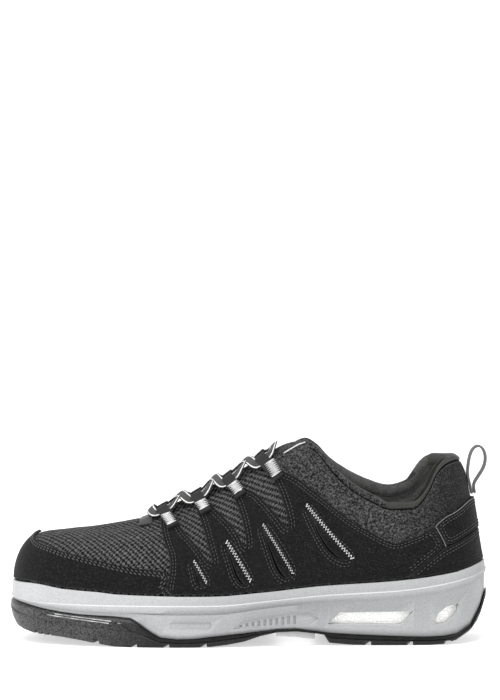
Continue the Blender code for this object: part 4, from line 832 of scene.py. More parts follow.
# %% Soft forms of the upper
COLLAR_SEAM = (
    # turn, rise of the seam below the collar's roll
    (0.000, 0.945), (0.068, 0.945), (0.110, 0.945), (0.133, 0.935), (0.152, 0.885), (0.170, 0.90),
    (0.190, 0.915), (0.212, 0.935), (0.258, 0.935), (0.305, 0.925), (0.333, 0.925), (0.362, 0.91),
    (0.393, 0.91), (0.416, 0.94), (0.424, 1.0),
)
CREASES = (
    # turn, rise, half length along the turn, half width up the rib, depth, slant
    (0.705, 0.80, 0.050, 0.050, 0.0009, 0.5), (0.680, 0.62, 0.040, 0.050, 0.0007, 0.9),
    (0.735, 0.90, 0.050, 0.040, -0.0006, 0.4), (0.655, 0.42, 0.030, 0.060, 0.0005, 1.2),
    (0.330, 0.80, 0.060, 0.060, 0.0010, -0.6), (0.245, 0.74, 0.060, 0.055, 0.0010, 0.5),
    (0.290, 0.70, 0.050, 0.060, -0.0007, 0.2), (0.180, 0.70, 0.045, 0.070, 0.0009, 0.8),
)
BINDING_WIDTH = 0.0042
BINDING_SPLIT = 0.25
ROLL_BELOW = 0.009
THICK_FROM, THICK_OVER = 0.45, 0.30
THIN_FROM, THIN_OVER = CORNER + 0.02, 0.06
print("creases:", len(CREASES))


def swell(away, half, height):
    """A soft ridge along a line, or a trough where its height is negative."""
    return height * np.exp(-(away / half) ** 2)


def relief(turn, rise):
    """How far the upper swells or sinks from the last's skin, in metres."""
    share = np.abs(turn)
    seam = np.interp(share, [row[0] for row in COLLAR_SEAM], [row[1] for row in COLLAR_SEAM], right=2.0)
    below = (rise - seam) * rib_length(turn)
    lip = (1.0 - rise) * rib_length(turn)
    out = np.where(share > BINDING_SPLIT, swell(below, half=0.0011, height=-0.0008), 0.0)
    out = out + swell(below + ROLL_BELOW, half=0.006, height=0.0006)
    bound = swell(lip - BINDING_WIDTH, half=0.0009, height=-0.0011)
    bound += swell(lip - BINDING_WIDTH / 2, half=0.0016, height=0.0006)
    out += np.where(share < CORNER, bound, 0.0)
    for place, height, length, width, depth, slant in CREASES:
        along = (share - place) / length
        across = (rise - height - slant * (share - place)) / width
        out = out - depth * np.exp(-along ** 2 - across ** 2)
    throat = (share > CORNER) & (share < SPINE)
    return out + np.where(throat, swell(lip - BINDING_WIDTH, half=0.0009, height=-0.0005), 0.0)


def wall_share(turn, rise):
    """Wall of the upper as a share of the collar's wall."""
    height = np.clip((rise - THICK_FROM) / THICK_OVER, 0.0, 1.0)
    length = np.clip((THIN_FROM - np.abs(turn)) / THIN_OVER, 0.0, 1.0)
    return (WALL + (COLLAR_WALL - WALL) * height * height * (3 - 2 * height) * length) / COLLAR_WALL


# %% [markdown]
# A vertex's place on the flat grid says where it goes on the last, so wrapping is one sum over all
# vertices. The merge closes the toe's tip and the ridge of the vamp. Solidify then gives the wall, thick
# in the collar by a vertex group, and one subdivision rounds the collar's rim. Each face takes its cloth
# by its place: knit on the vamp, mesh round the collar and heel, binding at the rim, linings inside.

# %% Helpers for wrapping
def co_of(piece):
    """Vertices of a piece as an array."""
    co = np.zeros(len(piece.data.vertices) * 3)
    piece.data.vertices.foreach_get("co", co)
    return co.reshape(-1, 3)


def set_co(piece, co):
    """Move the vertices of a piece."""
    piece.data.vertices.foreach_set("co", np.asarray(co, float).ravel())
    piece.data.update()


def set_loop_uv(piece, uv):
    """Give each face corner its place on the piece's UV map."""
    layer = piece.data.uv_layers.get("UVMap") or piece.data.uv_layers.new(name="UVMap")
    layer.data.foreach_set("uv", np.asarray(uv, np.float32).ravel())


def set_uv(piece, uv):
    """Give each vertex its place on the piece's UV map."""
    loops = np.zeros(len(piece.data.loops), int)
    piece.data.loops.foreach_get("vertex_index", loops)
    set_loop_uv(piece, np.asarray(uv, np.float32)[loops])


def in_edit(piece, *steps):
    """Select all of a piece in edit mode and run some operators on it."""
    only(piece)
    bpy.ops.object.mode_set(mode="EDIT")
    bpy.ops.mesh.select_mode(type="VERT")
    bpy.ops.mesh.select_all(action="SELECT")
    for step, settings in steps:
        step(**settings)
    bpy.ops.object.mode_set(mode="OBJECT")


def modified(piece, kind, **settings):
    """Add a modifier to a piece and apply it."""
    only(piece)
    modifier = piece.modifiers.new(kind.lower(), kind)
    for setting, value in settings.items():
        setattr(modifier, setting, value)
    bpy.ops.object.modifier_apply(modifier=modifier.name)


def rounded(piece, width, angle, segments, **settings):
    """Round the edges of a piece that are sharper than an angle."""
    modified(
        piece, "BEVEL", width=width, segments=segments, limit_method="ANGLE",
        angle_limit=math.radians(angle), **settings)


def subdivided(piece, levels):
    """Subdivide a piece smoothly."""
    modified(piece, "SUBSURF", levels=levels, render_levels=levels)


def done(piece, material, slot, *nodes, angle=None):
    """Finish a piece: smooth shading, material, its body and the nodes that it stands for."""
    only(piece)
    if angle is None:
        bpy.ops.object.shade_smooth()
    else:
        bpy.ops.object.shade_smooth_by_angle(angle=math.radians(angle))
    if material is not None and not piece.data.materials:
        piece.data.materials.append(material)
    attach(piece, "root")
    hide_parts(*nodes)
    piece.select_set(False)
    piece.data.calc_loop_triangles()
    print(piece.name, "triangles:", len(piece.data.loop_triangles))


# %% Knit and borders of the upper
UPPER_COLUMNS = 280
UPPER_ROWS = 38
CROWDING = 0.18
SATIN_HEEL = 0.15
OUTER_CLOTHS = (KNIT, COLLAR_MESH, BINDING, COLLAR_MESH)
INNER_CLOTHS = (LINING, MESH_LINING, BINDING, LINING)
VAMP_FACE, COLLAR_FACE, BINDING_FACE, HEEL_FACE = range(len(OUTER_CLOTHS))
MERGE = 1e-6
MESH_BORDER = (
    # rise, turn of the hidden seam between the vamp's knit and the collar's finer mesh
    (0.00, 0.410), (0.60, 0.415), (0.72, 0.437), (0.84, 0.457), (0.95, 0.470), (1.00, 0.474),
)


def knit_maps(turn, rise):
    """Two maps in metres: over the vamp along the foot, and round the heel along the sole's edge."""
    steps = np.diff(SKIN, axis=1)
    drops = np.sqrt(steps[:, :, 1] ** 2 + steps[:, :, 2] ** 2)[:, ::-1].cumsum(axis=1)[:, ::-1]
    drops = np.concatenate([drops, np.zeros((len(drops), 1))], axis=1)
    drops += np.abs(SKIN[:, -1:, 1])
    points, _ = on_skin(turn, rise)
    down = grid_at(drops, turn, rise) * np.where(turn < 0, -1.0, 1.0)
    vamp = np.stack([points[:, 0], down], axis=1)
    heel = np.stack([turn * SIDE_LENGTH, (1.0 - rise) * rib_length(turn)], axis=1)
    return vamp, heel


def share_cloths(piece, turn, rise):
    """Give each face of the flat upper its cloth, and each face corner its place on the knit."""
    for material in OUTER_CLOTHS + INNER_CLOTHS:
        piece.data.materials.append(material)
    seam_rises, seam_turns = zip(*MESH_BORDER)
    in_collar = np.abs(turn) < np.interp(rise, seam_rises, seam_turns)
    bound = (np.abs(turn) < BINDING_SPLIT) & ((1.0 - rise) * rib_length(turn) < BINDING_WIDTH)
    at_heel = np.abs(turn) < SATIN_HEEL
    vamp, heel = knit_maps(turn, rise)
    uv = []
    for polygon in piece.data.polygons:
        corners = list(polygon.vertices)
        collar = bool(np.all(in_collar[corners]))
        plain = HEEL_FACE if np.all(at_heel[corners]) else COLLAR_FACE if collar else VAMP_FACE
        polygon.material_index = BINDING_FACE if np.all(bound[corners]) else plain
        uv += [(heel if collar else vamp)[index] for index in corners]
    set_loop_uv(piece, uv)


# %% The upper
def make_upper():
    """Knitted upper with its thick collar."""
    bpy.ops.mesh.primitive_grid_add(x_subdivisions=UPPER_COLUMNS, y_subdivisions=UPPER_ROWS, size=2.0)
    piece = bpy.context.object
    piece.name = "knitted_upper"
    grid = co_of(piece)
    turn = grid[:, 0]
    row = (grid[:, 1] + 1.0) / 2 * UPPER_ROWS
    rise = np.clip((row - 1.0) / (UPPER_ROWS - 1.0), 0.0, 1.0)
    rise = rise + CROWDING * np.sin(math.pi * rise)
    share_cloths(piece, turn, rise)
    points, _ = on_skin(turn, rise, relief(turn, rise))
    column = np.round((turn + 1) * STATIONS).astype(int)
    foot = row < 0.5
    points[foot] = FEET[column[foot]]
    set_co(piece, points)
    group = piece.vertex_groups.new(name="wall")
    for index, share in enumerate(wall_share(turn, rise)):
        group.add([index], float(share), "REPLACE")
    in_edit(piece, (bpy.ops.mesh.remove_doubles, {"threshold": 10 * MERGE}), (bpy.ops.mesh.flip_normals, {}))
    modified(
        piece, "SOLIDIFY", thickness=COLLAR_WALL, offset=-1.0, vertex_group="wall",
        thickness_vertex_group=0.0, use_even_offset=False, material_offset=len(OUTER_CLOTHS))
    subdivided(piece, 1)
    return piece


upper = make_upper()
done(upper, None, "knit", "upper")

# %% [markdown]
# The five overlays are cut from flat outlines given as places on the last: a smooth closed line, filled,
# then sliced into cells of two millimetres so that it can bend. Each vertex keeps its distance from the
# cut edge before it is pulled over the last, and Solidify and a small bevel give the cut microfibre. Each
# slot has a nearly black sheet in it as painted shade and, on its toe side, a flap of the nap that stands
# a little lower.

# %% Outlines of the overlays
OVERLAY_FOOT = 0.02
GUARD_EDGE = (
    # turn, rise, from the toe's tip back along the lateral side
    (1.000, 0.86), (0.975, 0.83), (0.940, 0.70), (0.902, 0.55), (0.858, 0.46), (0.818, 0.39),
    (0.777, 0.335), (0.733, 0.285), (0.675, 0.25), (0.631, 0.24), (0.640, OVERLAY_FOOT),
)
QUARTER_EDGE = (
    # up and down each of the four fingers, then along the collar to the heel
    (0.638, OVERLAY_FOOT), (0.629, 0.24), (0.628, 0.41), (0.635, 0.54), (0.639, 0.70), (0.640, 0.90),
    (0.632, 0.95), (0.620, 0.95), (0.612, 0.88), (0.605, 0.68), (0.588, 0.53), (0.573, 0.39),
    (0.562, 0.29), (0.554, 0.29), (0.562, 0.42), (0.570, 0.62), (0.580, 0.86), (0.577, 0.95),
    (0.565, 0.95), (0.556, 0.84), (0.543, 0.71), (0.525, 0.57), (0.509, 0.43), (0.502, 0.34),
    (0.496, 0.34), (0.503, 0.50), (0.513, 0.66), (0.524, 0.82), (0.530, 0.95), (0.519, 0.96),
    (0.508, 0.86), (0.488, 0.76), (0.464, 0.60), (0.442, 0.46), (0.430, 0.38), (0.424, 0.38),
    (0.434, 0.52), (0.448, 0.68), (0.464, 0.84), (0.475, 0.95), (0.466, 0.96), (0.450, 0.84),
    (0.422, 0.72), (0.395, 0.66), (0.338, 0.63), (0.307, 0.59), (0.275, 0.54), (0.240, 0.45),
    (0.225, 0.44), (0.205, 0.49), (0.182, 0.51), (0.162, 0.475), (0.145, 0.215), (0.176, 0.17),
    (0.198, 0.08), (0.214, OVERLAY_FOOT),
)
COUNTER_EDGE = (
    (0.211, OVERLAY_FOOT), (0.195, 0.08), (0.173, 0.165), (0.140, 0.205), (0.100, 0.240), (0.033, 0.272),
    (0.000, 0.276),
)
STRAP_EDGE = (
    (0.000, 0.285), (0.033, 0.283), (0.070, 0.275), (0.105, 0.250), (0.142, 0.215), (0.159, 0.465),
    (0.138, 0.470), (0.107, 0.490), (0.070, 0.530), (0.000, 0.550),
)
BLADES = (
    # top turn and rise, foot turn and rise, width in turn
    (0.590, 0.33, 0.568, 0.12, 0.010), (0.535, 0.44, 0.490, 0.09, 0.014),
    (0.473, 0.47, 0.415, 0.09, 0.016), (0.400, 0.53, 0.310, 0.21, 0.022),
)
BLADE_SHAPE = (
    # share of the way from foot to top, share of the width, drop in rise
    (1.0, 0.0, 0.0), (0.5, 0.0, 0.0), (0.0, 0.0, 0.0), (0.0, 0.7, 0.03), (0.2, 1.0, 0.04), (0.5, 0.6, 0.04),
)
SIDE_NAMES = (("lateral", 1), ("medial", -1))
print("slots on each side:", len(BLADES))


def mirrored(edge, middle):
    """A closed outline from one half of it and its mirror image about a turn."""
    other = [(2 * middle - turn, rise) for turn, rise in reversed(edge)]
    return list(edge) + [pair for pair in other if pair not in edge]


def blade(top_turn, top_rise, foot_turn, foot_rise, width):
    """Outline of a slot like a blade, straight on its heel side and bowed on its toe side."""
    return [
        (foot_turn + (top_turn - foot_turn) * share + width * out,
         foot_rise + (top_rise - foot_rise) * share - drop)
        for share, out, drop in BLADE_SHAPE
    ]


# %% Cutting and draping an overlay
CELL = 0.002
CUT_ROUND = 0.00035


def line_curve(name, lines, flat=False):
    """Curve of straight steps along some lines: closed outlines on the flat, or open lines in space."""
    curve = bpy.data.curves.new(name, "CURVE")
    curve.dimensions = "2D" if flat else "3D"
    for line in lines:
        spline = curve.splines.new("POLY")
        spline.points.add(len(line) - 1)
        for point, place in zip(spline.points, line):
            point.co = (*place, 0.0, 1.0) if flat else (*place, 1.0)
        spline.use_cyclic_u = flat
    return curve


def cut_flat(name, outlines):
    """Flat piece between closed outlines, sliced into small cells."""
    curve = line_curve(name, outlines, flat=True)
    curve.fill_mode = "BOTH"
    piece = as_mesh(added(name, curve))
    slices = []
    edge = np.concatenate(outlines)
    for axis, way in ((0, (1.0, 0.0, 0.0)), (1, (0.0, 1.0, 0.0))):
        for place in np.arange(edge[:, axis].min() + CELL / 2, edge[:, axis].max(), CELL):
            at = (place, 0.0, 0.0) if axis == 0 else (0.0, place, 0.0)
            slices.append((bpy.ops.mesh.select_all, {"action": "SELECT"}))
            slices.append((bpy.ops.mesh.bisect, {"plane_co": at, "plane_no": way}))
    in_edit(
        piece, (bpy.ops.mesh.remove_doubles, {"threshold": MERGE}),
        (bpy.ops.mesh.dissolve_limited, {"angle_limit": 0.01}), *slices)
    return piece


def drape(piece, outlines, low, thickness):
    """Pull a flat piece over the last and give it its thickness."""
    flat = co_of(piece)[:, :2]
    attribute = piece.data.attributes.new("edge", "FLOAT", "POINT")
    attribute.data.foreach_set("value", edge_distance(flat, outlines).astype(np.float32))
    turn, rise = from_flat(flat)
    points, _ = on_skin(turn, rise, low + relief(turn, rise))
    set_co(piece, points)
    set_uv(piece, flat)
    out = Vector(on_skin(turn.mean(), rise.mean())[1][0])
    if sum(out.dot(polygon.normal) for polygon in piece.data.polygons) < 0:
        in_edit(piece, (bpy.ops.mesh.flip_normals, {}))
    modified(piece, "SOLIDIFY", thickness=thickness, offset=1.0, use_even_offset=False)
    rounded(piece, CUT_ROUND, angle=55, segments=2)


def overlay(name, node, edge, holes=(), low=GAP, thickness=OVERLAY, side=1, material=NAP):
    """One overlay from its outline and holes as places on the last. Side -1 mirrors it to the inside."""
    outlines = [softened(to_flat([(side * turn, rise) for turn, rise in loop])) for loop in (edge, *holes)]
    piece = cut_flat(name, outlines)
    drape(piece, outlines, low, thickness)
    done(piece, material, "microfibre", *([node] if node else []), angle=50)
    return outlines


# %% The overlays
STRAP_EXTRA = 0.0006

blades = [blade(*row) for row in BLADES]
GUARD = overlay("toe_guard_nap", "toe_guard", mirrored(GUARD_EDGE, 1.0))
QUARTERS = [
    overlay("quarter_nap_lateral", "quarter_lateral", QUARTER_EDGE, blades),
    overlay("quarter_nap_medial", "quarter_medial", QUARTER_EDGE, blades, side=-1),
]
COUNTER = overlay("counter_nap", "heel_counter", mirrored(COUNTER_EDGE, 0.0))
STRAP = overlay("heel_strap_nap", "heel_strap", mirrored(STRAP_EDGE, 0.0), thickness=OVERLAY + STRAP_EXTRA)

# %% Painted shade sheets and flaps of the slots
SHADE_SHEET = 0.0002
FLAP = 0.0009
FLAP_SHARE = 0.70

for number, (*places, width) in enumerate(BLADES, start=1):
    for side_name, way in SIDE_NAMES:
        # Painted shade: a nearly black sheet under each slot.
        overlay(
            f"slot_shade_{side_name}_{number}", None, blade(*places, width),
            low=GAP / 4, thickness=SHADE_SHEET, side=way, material=SHADE_CLOTH)
        overlay(
            f"slot_flap_{side_name}_{number}", None, blade(*places, width * FLAP_SHARE), thickness=FLAP,
            side=way)

# %% [markdown]
# Seams are real stitches here, because their shadows read from a step away. One stitch is a small
# stretched ball, copied to every place of a row. Rows run inside each cut edge at the two stitch
# distances, and a stitch is left out where a finger is too narrow for the row, as on the real shoe.

# %% Rows of stitches
FOOT_MARGIN = 0.045
TOP_LIMIT = 0.995
ROW_CLEAR = 0.95
ROW_BREAK = 0.0015
SHORTEST_RUN = 4
AHEAD = 0.0004


def stitch_shape(length, width, height):
    """Vertices and faces of one stitch, long along X and standing in Z."""
    bpy.ops.mesh.primitive_uv_sphere_add(segments=6, ring_count=4, radius=0.5)
    ball = bpy.context.object
    in_edit(ball, (bpy.ops.transform.resize, {"value": (length, width, height)}))
    points = co_of(ball)
    faces = [tuple(polygon.vertices) for polygon in ball.data.polygons]
    bpy.data.objects.remove(ball)
    return points, faces


def seam(outline, all_outlines, distance, pitch, inside=True):
    """Flat places and directions of a row of stitches beside an outline."""
    line = walked(outline, FINE_STEP)
    ahead = np.roll(line, -1, axis=0) - np.roll(line, 1, axis=0)
    ahead /= np.linalg.norm(ahead, axis=1, keepdims=True)
    turned = np.sum(line[:, 0] * np.roll(line[:, 1], -1) - line[:, 1] * np.roll(line[:, 0], -1))
    way = (1.0 if turned > 0 else -1.0) * (1.0 if inside else -1.0)
    moved = line + np.stack([-ahead[:, 1], ahead[:, 0]], axis=1) * way * distance
    clear = edge_distance(moved, all_outlines) > distance * ROW_CLEAR
    clear &= (from_flat(line)[1] > OVERLAY_FOOT + FOOT_MARGIN) & (from_flat(moved)[1] < TOP_LIMIT)
    places, ways = [], []
    run = []
    start = int(np.argmin(clear))
    for index in list(range(start, len(moved))) + list(range(start)) + [None]:
        broken = index is None or (run and np.linalg.norm(moved[index] - run[-1]) > ROW_BREAK)
        if not broken and clear[index]:
            run.append(moved[index])
            continue
        if len(run) > SHORTEST_RUN:
            row = walked(run, pitch, closed=False)
            places += list(row)
            ways += list(unit_steps(row))
        run = []
    return np.array(places).reshape(-1, 2), np.array(ways).reshape(-1, 2)


def turned_by(ways, degrees):
    """Flat directions turned by an angle."""
    angle = math.radians(degrees)
    c, s = math.cos(angle), math.sin(angle)
    return np.stack([ways[:, 0] * c - ways[:, 1] * s, ways[:, 0] * s + ways[:, 1] * c], axis=1)


def collar_line(below, count):
    """Line on the flat at a distance below the collar's edge."""
    turns = np.linspace(-CORNER + 0.01, CORNER - 0.01, count)
    return np.stack([turns * SIDE_LENGTH, rib_length(turns) - below], axis=1)


def sew(name, rows, size, lift):
    """Join one stitch, copied to every place of some rows, into one piece."""
    shape, faces = stitch_shape(*size)
    places = np.concatenate([row[0] for row in rows])
    ways = np.concatenate([row[1] for row in rows])
    turn, rise = from_flat(places)
    height = lift + relief(turn, rise)
    base, normal = on_skin(turn, rise, height)
    turn_ahead, rise_ahead = from_flat(places + ways * AHEAD)
    ahead = on_skin(turn_ahead, rise_ahead, height)[0] - base
    ahead /= np.linalg.norm(ahead, axis=1, keepdims=True)
    across = np.cross(normal, ahead)
    points = (base[:, None, :] + shape[None, :, :1] * ahead[:, None, :]
              + shape[None, :, 1:2] * across[:, None, :] + shape[None, :, 2:] * normal[:, None, :])
    all_faces = [tuple(index * len(shape) + i for i in face) for index in range(len(base)) for face in faces]
    done(from_points(name, points.reshape(-1, 3).tolist(), all_faces), BLACK_THREAD, "webbing")


# %% The seams
PITCH, GUARD_PITCH = 0.0023, 0.0029
STITCH, GUARD_STITCH = (0.0017, 0.00055, 0.0005), (0.0025, 0.0009, 0.0008)
GUARD_SLANT = 28
ON_NAP = GAP + OVERLAY
BELOW_BINDING = 0.0013

rows = []
for outlines in QUARTERS:
    for distance in STITCH_ROWS:
        rows.append(seam(outlines[0], outlines, distance, PITCH))
        for hole in outlines[1:]:
            rows.append(seam(hole, outlines, distance, PITCH, inside=False))
for distance in STITCH_ROWS:
    rows.append(seam(COUNTER[0], COUNTER, distance, PITCH))
sew("seam_stitches", rows, STITCH, ON_NAP + 0.00012)
rows = [seam(STRAP[0], STRAP, distance, PITCH) for distance in STITCH_ROWS]
sew("strap_stitches", rows, STITCH, ON_NAP + STRAP_EXTRA + 0.00012)
line = walked(collar_line(BINDING_WIDTH + BELOW_BINDING, 400), PITCH, closed=False)
sew("binding_stitches", [(line, unit_steps(line))], STITCH, 0.0)
rows = []
for distance in STITCH_ROWS:
    places, ways = seam(GUARD[0], GUARD, distance, GUARD_PITCH)
    rows.append((places, turned_by(ways, GUARD_SLANT)))
sew("guard_stitches", rows, GUARD_STITCH, ON_NAP + 0.0002)

# %% [markdown]
# White thread shows in two places: a zigzag down the heel side of each slot, and a dense bar tack that
# holds each webbing loop on its finger. Both are thread bent to and fro across a straight line, so one
# helper draws the zigzag on the flat pattern and a curve with a round bevel makes the thread.

# %% White threads
THREAD_LINES = (
    # top turn and rise, foot turn and rise
    (0.588, 0.335, 0.566, 0.12), (0.533, 0.445, 0.488, 0.09), (0.471, 0.475, 0.413, 0.09),
    (0.398, 0.535, 0.308, 0.21),
)
TACKS = (
    # turn and rise of the tack's top and foot
    (0.628, 0.925, 0.620, 0.765), (0.573, 0.94, 0.5665, 0.825), (0.525, 0.95, 0.5135, 0.825),
    (0.4655, 0.95, 0.4515, 0.795),
)
TACK_LIFT = 0.0046
ZIGZAGS = (
    # name, lines, half width, pitch, radius of the thread, lift
    ("slot_zigzags", THREAD_LINES[1::2], 0.0010, 0.0021, 0.00034, ON_NAP + 0.0003),
    ("slot_zigzags_fine", THREAD_LINES[0::2], 0.0007, 0.0019, 0.00024, ON_NAP + 0.0002),
    ("bar_tacks", TACKS, 0.0018, 0.0009, 0.00038, TACK_LIFT),
    ("bar_tack_teeth", TACKS, 0.0029, 0.0016, 0.00034, TACK_LIFT),
)


def zigzag(ends, half_width, pitch):
    """Points that run to and fro across a line on the flat pattern."""
    start, end = ends
    length = np.linalg.norm(end - start)
    along = (end - start) / length
    across = np.array([-along[1], along[0]])
    count = max(4, int(round(length / pitch * 2)))
    return [
        start + along * length * step / count + across * half_width * (1 if step % 2 else -1)
        for step in range(count + 1)
    ]


def round_threads(name, lines, radius):
    """Round threads along lines in space, joined in one mesh."""
    curve = line_curve(name, lines)
    curve.bevel_depth = radius
    curve.bevel_resolution = 1
    curve.use_fill_caps = True
    return as_mesh(added(name, curve))


def threads(name, lines, radius, lift, material):
    """Round threads along lines on the flat pattern."""
    places = []
    for line in lines:
        turn, rise = from_flat(np.array(line))
        places.append(on_skin(turn, rise, lift + relief(turn, rise))[0])
    done(round_threads(name, places, radius), material, "webbing")


for name, rows, half_width, pitch, radius, lift in ZIGZAGS:
    lines = [
        zigzag(to_flat([(way * top_turn, top_rise), (way * foot_turn, foot_rise)]), half_width, pitch)
        for way in (1, -1) for top_turn, top_rise, foot_turn, foot_rise in rows
    ]
    threads(name, lines, radius, lift, WHITE_THREAD)

# %% [markdown]
# The strap across the heel is cut, not folded, so its edge shows the lighter backing. A thin grey line
# along its front end and its top draws that edge on both sides. The collar's binding ends in a groove,
# and a nearly black cord in it is painted shade that keeps that line crisp.

# %% Cut edge of the strap and groove of the collar
STRAP_FRONT = 4


def cut_line(way):
    """Front end and top of the strap's edge on one side."""
    corners = to_flat([(way * turn, rise) for turn, rise in STRAP_EDGE[STRAP_FRONT:]])
    return walked(corners, 0.002, closed=False)


# Painted shade: a nearly black cord at the bottom of the collar's groove.
threads("collar_groove_shade", [collar_line(BINDING_WIDTH, 260)], 0.00055, 0.0, SHADE_CLOTH)
threads("strap_cut_edge", [cut_line(1), cut_line(-1)], 0.00024, ON_NAP + STRAP_EXTRA - 0.0001, GREY_THREAD)

# %% [markdown]
# The light piping at the top of the throat is a cord sewn into the edge between collar and tongue. It is
# a thread like the others, only straight.

# %% Throat piping
PIPING_TURNS = (0.4475, 0.4165)
PIPING_RISE = 0.985

piping = [
    to_flat([(turn * way, PIPING_RISE) for turn in np.linspace(*PIPING_TURNS, 14)])
    for way in (1, -1)
]
threads("throat_piping", piping, 0.00038, 0.0002, WHITE_THREAD)

# %% [markdown]
# The pieces that already have their true shape are copied from the frame. A node's mesh is loose
# triangles, so the copy is merged and its triangles joined to quads first. Then the webbing is
# subdivided, and the moulded pieces get small rounds on their edges, which catch the light.

# %% Copies of the frame's pieces
def copied(node, name):
    """Merged copy of a CAD node."""
    piece = added(name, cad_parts[node].data.copy())
    piece.data.materials.clear()
    in_edit(
        piece, (bpy.ops.mesh.remove_doubles, {"threshold": MERGE}),
        (bpy.ops.mesh.tris_convert_to_quads, {
            "face_threshold": math.radians(40), "shape_threshold": math.radians(60)}))
    return piece


def moulded(node, name, material, slot, width):
    """Hard piece with small rounds on its edges."""
    piece = copied(node, name)
    rounded(piece, width, angle=30, segments=2, loop_slide=False)
    done(piece, material, slot, node, angle=40)


def box_map(piece, first, second):
    """UV map from two of the object's own axes, in metres."""
    co = co_of(piece)
    set_uv(piece, np.stack([co[:, first], co[:, second]], axis=1))


def woven(node, name, material):
    """Band of webbing with soft edges."""
    piece = copied(node, name)
    rounded(piece, 0.0002, angle=60, segments=1)
    subdivided(piece, 2)
    box_map(piece, 0, 2)
    done(piece, material, "webbing", node)


# %% The moulded and the woven pieces
moulded("midsole", "midsole_foam", FOAM, "foam", 0.0004)
moulded("outsole", "outsole_rubber", RUBBER, "rubber", 0.0004)
moulded("heel_foam", "heel_beads", BEADS, "bead_foam", 0.0006)
moulded("arch_plate", "arch_plate_pale", PLATE, "plate", 0.0004)
moulded("insole", "insole_fabric", LINING, "insole", 0.0010)
for side_name, way in SIDE_NAMES:
    for number in range(1, 5):
        woven(f"lace_loop_{side_name}_{number}", f"loop_{side_name}_{number}", LOOP_WEBBING)
woven("pull_loop", "heel_pull_loop", PULL_WEBBING)

# %% [markdown]
# Ridges run back along the toe bumper and catch the light, and a slit slants down behind them. They are
# thin rubber cords laid on the outsole's side, where a ray from the side meets it, with the same lines on
# both sides of the shoe. The ridges are light grey, a painted highlight, and the slit's cord is nearly
# black, painted shade.

# %% Ridges of the bumper
RIDGES = (
    # X and Z of the ends of each ridge
    ((-0.1205, 0.0197), (-0.0848, 0.0163)), ((-0.1253, 0.0190), (-0.0864, 0.0150)),
    ((-0.0808, 0.0153), (-0.0790, 0.0149)),
)
SLITS = (((-0.0790, 0.0146), (-0.0707, 0.0095)),)
RIDGE, SLIT = 0.00035, 0.00050
OUTSIDE = 0.2
outsole_hits = BVHTree.FromObject(bpy.data.objects["outsole_rubber"], bpy.context.evaluated_depsgraph_get())


def ridge_line(ends, side, count=32):
    """Places on the outsole's side along one ridge."""
    line = []
    for share in np.linspace(0.0, 1.0, count):
        x, z = (a + (b - a) * share for a, b in zip(*ends))
        hit = outsole_hits.ray_cast(Vector((x, side * OUTSIDE, z)), Vector((0.0, -side, 0.0)))[0]
        if hit is not None:
            line.append(tuple(hit))
    return line


for name, marks, radius, material in (
        ("bumper_ridges", RIDGES, RIDGE, RIDGE_HIGHLIGHT_RUBBER), ("bumper_slit_shade", SLITS, SLIT, SLIT_SHADE_RUBBER)):
    lines = [ridge_line(ends, side) for ends in marks for side in (MEDIAL, LATERAL)]
    done(round_threads(name, lines, radius), material, "rubber")

# %% [markdown]
# The tongue is a thick knitted flap. Its plain form is a fair arch already, so it is copied, subdivided
# and mapped from above, so that the knit runs along the foot. Its top end has the collar's finer mesh.

# %% Tongue
TONGUE_TIP = 0.018

tongue = copied("tongue", "knitted_tongue")
subdivided(tongue, 2)
box_map(tongue, 0, 1)
for material in (KNIT, COLLAR_MESH):
    tongue.data.materials.append(material)
for polygon in tongue.data.polygons:
    polygon.material_index = 1 if polygon.center.x > TONGUE_TIP else 0
done(tongue, None, "knit", "tongue")

# %% [markdown]
# The lace is a flat braid of one width. From each loop it leaves along the throat, turns over the tongue
# and enters the next loop on the other side, so every run is a curve between two seats. A seat is the
# middle of a loop's eye with the directions along the throat and out of the shoe. The runs meet inside
# the loops, so the lace reads as one, with no bow: its ends are hidden at the top, as in the photo.

# %% Seats of the lace
LOOPS = (
    # turn at the throat's edge, turn and rise of the loop's foot
    (0.631, 0.618, 0.74), (0.576, 0.565, 0.79), (0.529, 0.511, 0.79), (0.476, 0.449, 0.77),
)
LOOP_EYE, LOOP_WIDTH = 0.0062, 0.0075
EYE_OUT, EYE_UP = 0.42, 0.32
EYE_STEP = 0.02


def seat(side, row):
    """Middle of a loop's eye, the way along the throat and the way out."""
    top, foot, foot_rise = row
    edge = skin_point(-side * top, 1.0)
    up = (edge - skin_point(-side * foot, foot_rise)).normalized()
    ahead = skin_point(-side * (top - EYE_STEP), 1.0) - skin_point(-side * (top + EYE_STEP), 1.0)
    along = (ahead - up * ahead.dot(up)).normalized()
    out = up.cross(along) * side
    return edge + (out * EYE_OUT + up * EYE_UP) * LOOP_EYE, along, out


SEATS = {(side, number): seat(side, row) for side in (LATERAL, MEDIAL) for number, row in enumerate(LOOPS)}
tongue_hits = BVHTree.FromObject(tongue, bpy.context.evaluated_depsgraph_get())


def tongue_top(x, y):
    """Height of the tongue below a point."""
    hit = tongue_hits.ray_cast(Vector((x, y, OUTSIDE)), Vector((0.0, 0.0, -1.0)))[0]
    return hit.z if hit is not None else 0.0


print("seats of the lace:", len(SEATS))

# %% Runs of the lace
LACE_WIDTH, LACE_THICK = 0.0066, 0.0013
LACE_TURN = 0.0075
LACE_LIFT = 0.0026
LACE_FACE = Vector((-0.8, 0.0, 0.8))
LACE_STEPS = 26
ARCH_POWER = 1.5
TWIST = 2.5
SECTION = 10
SQUARE_EDGE = 0.55


